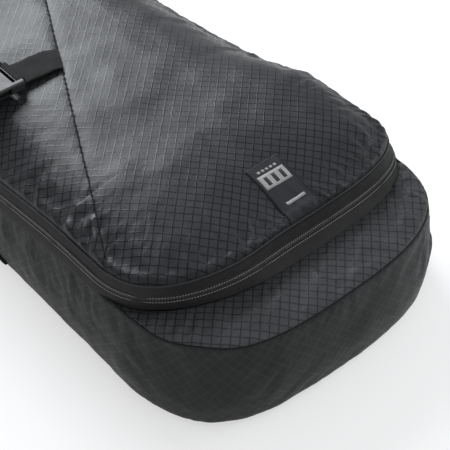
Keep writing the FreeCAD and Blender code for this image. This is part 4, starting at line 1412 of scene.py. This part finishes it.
def make_patches(name, half, long_axis, sign):
    """Two webbing squares sewn to the wall with a box and a cross. sign is the way that the wall faces."""
    lo, hi = box_mm(f"handle_patches_{name}")
    depth_axis = 1 - long_axis
    face = (hi if sign > 0 else lo)[depth_axis]
    layer_size = PATCH_ROWS * PATCH_COLUMNS
    last_row = layer_size - PATCH_COLUMNS
    rim_loop = [*range(PATCH_COLUMNS), *range(2 * PATCH_COLUMNS - 1, layer_size, PATCH_COLUMNS)]
    rim_loop += range(layer_size - 2, last_row - 1, -1)
    rim_loop += range(last_row - PATCH_COLUMNS, 0, -PATCH_COLUMNS)
    verts, faces, uv, starts, ends = [], [], [], [], []

    def point(a, z, depth):
        made = np.zeros((*np.shape(a), 3))
        made[..., long_axis], made[..., 2], made[..., depth_axis] = a, z, depth
        return made

    for centre in (-half, half):
        a0, a1, z0, z1 = centre - PATCH_HALF, centre + PATCH_HALF, lo[2], hi[2]
        a, z = np.meshgrid(np.linspace(a0, a1, PATCH_COLUMNS), np.linspace(z0, z1, PATCH_ROWS))
        edge = np.minimum.reduce([a - a0, a1 - a, z - z0, z1 - z])
        bulge = 0.5 * smooth(0, 2.5, edge) + 1.0
        quads = grid_faces(PATCH_ROWS, PATCH_COLUMNS) + len(verts)
        faces += quads.tolist() + (quads + layer_size)[:, ::-1].tolist()
        for k, m in zip(rim_loop, rim_loop[1:] + rim_loop[:1]):
            faces.append([len(verts) + i for i in (k, m, m + layer_size, k + layer_size)])
        for depth in (face - sign * 1.5 + sign * bulge, face - sign * 2.0):
            verts += point(a, z, depth).reshape(-1, 3).tolist()
            uv += cloth_uv(a, z).reshape(-1, 2).tolist()
        a0, a1, z0, z1 = a0 + PATCH_INSET, a1 - PATCH_INSET, z0 + PATCH_INSET, z1 - PATCH_INSET
        corners = ((a0, z0), (a1, z0), (a1, z1), (a0, z1))
        for k, m in ((0, 1), (1, 2), (2, 3), (3, 0), (0, 2), (1, 3)):
            (b0, y0), (b1, y1) = corners[k], corners[m]
            count = int(math.hypot(b1 - b0, y1 - y0) / STITCH_STEP)
            for place, found in ((0.15, starts), (0.8, ends)):
                share = (np.arange(count) + place) / count
                found.extend(point(b0 + (b1 - b0) * share, y0 + (y1 - y0) * share, face))
    piece = new_mesh(f"handle_patch_{name}", verts, faces, uv)
    mesh = to_bmesh(piece)
    bmesh.ops.recalc_face_normals(mesh, faces=mesh.faces)
    mesh.to_mesh(piece.data)
    mesh.free()
    finish_piece(piece, "bag", "webbing", "webbing", f"handle_patches_{name}")
    starts, ends = np.array(starts), np.array(ends)
    up = np.tile(np.eye(3)[depth_axis] * sign, (len(starts), 1))
    stitches(f"handle_stitch_{name}", starts, ends, up, 0.6, 0.35, "bag", "webbing", "thread_light")


def make_base_tabs():
    """Short webbing tabs, folded over and sewn into the base seam."""
    lo, hi = box_mm("base_tabs")
    tab_y, mid_z = hi[1] - WEB_HALF, (lo[2] + hi[2]) / 2
    mesh = bmesh.new()
    for side in (-1, 1):
        for y in (-tab_y, tab_y):
            outer, inner = side * hi[0], side * (HALF_W - 2.5)
            bend_x = outer - side * 1.6
            bend = [(bend_x + side * 1.4 * math.cos(a), y, mid_z + 1.5 * math.sin(a)) for a in HALF_TURN]
            path = [(inner, y, mid_z - 1.2), *bend, (inner, y, mid_z + 1.2)]
            tab = ribbon("tab", path, TAB_WEB, wave=0.05)
            mesh.from_mesh(tab.data)
            bpy.data.objects.remove(tab)
    tabs = from_bmesh("base_tab_loops", mesh)
    finish_piece(tabs, "bag", "webbing", "webbing", "base_tabs")


# ---------------------------------------------------------------- fold at the head
FOLD_REACH, FOLD_ROWS, FOLD_COLUMNS = 12, 22, 90
# Half its width at the lid and how much wider it is at the deck, its lift off each, and its wrinkles
FOLD_HALF, FOLD_FLARE, FOLD_LIFT, FOLD_DECK_LIFT = 154, 8, 2.2, 2.0
WRINKLE_HEIGHT, WRINKLE_RATE = 0.5, 40


def make_fold():
    """The cloth hinge between the head deck and the lid."""
    x = np.linspace(-1, 1, FOLD_COLUMNS)
    wrinkle = WRINKLE_HEIGHT * np.sin(x * WRINKLE_RATE)
    rows = []
    for past in np.linspace(-FOLD_REACH, FOLD_REACH, FOLD_ROWS):
        y = HINGE[1] + past
        lid_z = HINGE[2] + FOLD_LIFT + 3.2 * smooth(0, -FOLD_REACH, past)
        deck_z = head_top(max(y, HINGE[1]), RIM_END) + FOLD_DECK_LIFT
        mix = smooth(-3, 5, past)
        z = lid_z * (1 - mix) + deck_z * mix
        rows.append(np.stack([x * (FOLD_HALF + FOLD_FLARE * mix), np.full_like(x, y), z + wrinkle], 1))
    points = np.array(rows)
    fold = grid("lid_fold_cloth", points, points[..., :2] / 1000)
    thicken(fold, "fold")
    if fold.data.polygons[0].normal.z < 0:
        fold.data.flip_normals()
    fold.data.materials.append(MATERIALS["lid"])
    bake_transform(fold)


# The section of the tab on the bag, as X and the height above the hinge
END_TAB = ((148.0, -1.6), (165.0, -1.0), (173.0, -0.8), (175.6, -3.0), (177.2, -9.0), (177.6, -17.0))


def make_zip_ends():
    """Cloth tabs that close the corners where the zipper stops short of the lid's fold."""
    edge = LID_EDGE[len(SEAM) - 4:len(SEAM) + 9]
    drop = np.minimum(HINGE[2] + 0.8, edge[:, 2]) - edge[:, 2]
    middle_y = np.linspace(LEG_TOP - 5, HINGE[1] + 14, 12)
    for name, side in (("left", -1), ("right", 1)):
        rows = []
        for share in np.linspace(-0.08, 1, 8):
            row = edge + unit(edge * (1, 0, 0)) * 0.8
            row[:, 2] = edge[:, 2] + drop * share
            rows.append(row * (side, 1, 1))
        lid_tab = np.array(rows)
        bag_tab = np.array([[(side * x, y, HINGE[2] + z) for y in middle_y] for x, z in END_TAB])
        for body, points, uv in (("lid", lid_tab, lid_tab[..., 1:]), ("bag", bag_tab, bag_tab[..., :2])):
            tab = grid(f"zip_end_{body}_{name}", points, uv / 1000)
            thicken(tab, "zip_end")
            face_out(tab)
            finish_piece(tab, body, "gusset_fabric", "gusset")


def face_out(obj):
    """Turns an open sheet so that its faces look away from the inside of the bag."""
    total, centre = Vector((0, 0, 0)), Vector((0, 0, 0))
    for face in obj.data.polygons:
        total += face.normal * face.area
        centre += face.center * face.area
    if total.dot(Vector((centre.x, 0, abs(centre.x) * 0.5))) <= 0:
        obj.data.flip_normals()


# ---------------------------------------------------------------- hardware from the frame
NODE_FINISHES = {
    "buckle_female": "buckle", "buckle_male": "buckle", "slider_": "metal", "pull_grip": "grip",
    "pull_": "metal", "zipper_stop": "buckle",
}
MOULDED_EDGE, FINE_EDGE = 0.0006, 0.0003


def dress_hardware():
    """Materials and softened edges for the CAD nodes that stay."""
    for name, obj in frame["nodes"].items():
        kind = next((k for prefix, k in NODE_FINISHES.items() if name.startswith(prefix)), None)
        if kind is None:
            continue
        obj.data.materials.clear()
        obj.data.materials.append(MATERIALS[kind])
        bevel = obj.modifiers.new("worn edges", "BEVEL")
        bevel.width = MOULDED_EDGE if kind == "buckle" else FINE_EDGE
        bevel.segments = 3
        bevel.limit_method = "ANGLE"
        bevel.angle_limit = math.radians(35)
        bevel.harden_normals = True


# ---------------------------------------------------------------- studio
# The sky's colour and strength, and the colour of the lamps
SKY, LAMP_COLOUR = ((0.97, 0.98, 1.0, 1), 0.76), (0.93, 0.965, 1.0)
# Name, place, aim, size in metres and power in watts
LAMPS = (
    ("back_softbox", (0.56, 1.435, 1.5), (-0.1, -0.35, 0.15), 1.275, 87.0),
    ("top_softbox", (0.6, -1.2, 2.4), (0.2, -0.9, 0.0), 1.8, 10.0),
    ("side_softbox", (1.7, -1.3, 0.8), (0.15, -0.7, 0.08), 0.9, 12.0),
)
CAMERA_PLACE, CAMERA_ANGLES, CAMERA_LENS = (-0.533005, -1.247212, 0.854240), (-41.35, 44.68, 0.60), 87.08


def make_studio():
    bpy.ops.mesh.primitive_plane_add(size=80, location=(0, 0, -0.0004))
    floor = bpy.context.object
    floor.name = "studio_floor"
    floor.data.materials.append(floor_material())
    world = bpy.data.worlds.new("studio")
    bpy.context.scene.world = world
    world.use_nodes = True
    sky = world.node_tree.nodes["Background"]
    sky.inputs["Color"].default_value, sky.inputs["Strength"].default_value = SKY
    for name, place, aim, size, power in LAMPS:
        data = bpy.data.lights.new(name, "AREA")
        data.shape = "SQUARE"
        data.size, data.energy, data.color = size, power, LAMP_COLOUR
        lamp = place_object(name, data)
        lamp.location = place
        lamp.rotation_mode = "QUATERNION"
        lamp.rotation_quaternion = (Vector(aim) - Vector(place)).to_track_quat("-Z", "Y")
    bpy.context.scene.view_settings.view_transform = "Standard"


def make_camera():
    """The photograph's viewpoint. The angles are azimuth, elevation and roll, in degrees."""
    azimuth, elevation, roll = (math.radians(v) for v in CAMERA_ANGLES)
    away = math.cos(elevation)
    back = Vector((math.sin(azimuth) * away, -math.cos(azimuth) * away, math.sin(elevation)))
    right = Vector((math.cos(azimuth), math.sin(azimuth), 0))
    up = back.cross(right)
    right, up = right * math.cos(roll) + up * math.sin(roll), up * math.cos(roll) - right * math.sin(roll)
    data = bpy.data.cameras.new("photo_view")
    data.sensor_width = 36.0
    data.lens = CAMERA_LENS
    camera = place_object("photo_view", data)
    camera.matrix_world = Matrix((right, up, back)).transposed().to_4x4()
    camera.location = CAMERA_PLACE
    bpy.context.scene.camera = camera


make_walls()
make_base()
make_inside()
make_tail_deck()
make_head_deck()
end_seam("tail", -1)
end_seam("head", 1)
make_tape("zipper_tape_below", LOW_EDGE, -1, "bag", "zipper_tape_lower", False)
make_tape("zipper_tape_above", SEAM, 1, "lid", "zipper_tape_upper", True)
make_coils()
lid_tree = make_lid()
make_lid_layers()
make_lid_seams(lid_tree)
make_label(lid_tree)
make_straps()
make_handles()
make_base_tabs()
make_fold()
make_zip_ends()
dress_hardware()
make_studio()
make_camera()
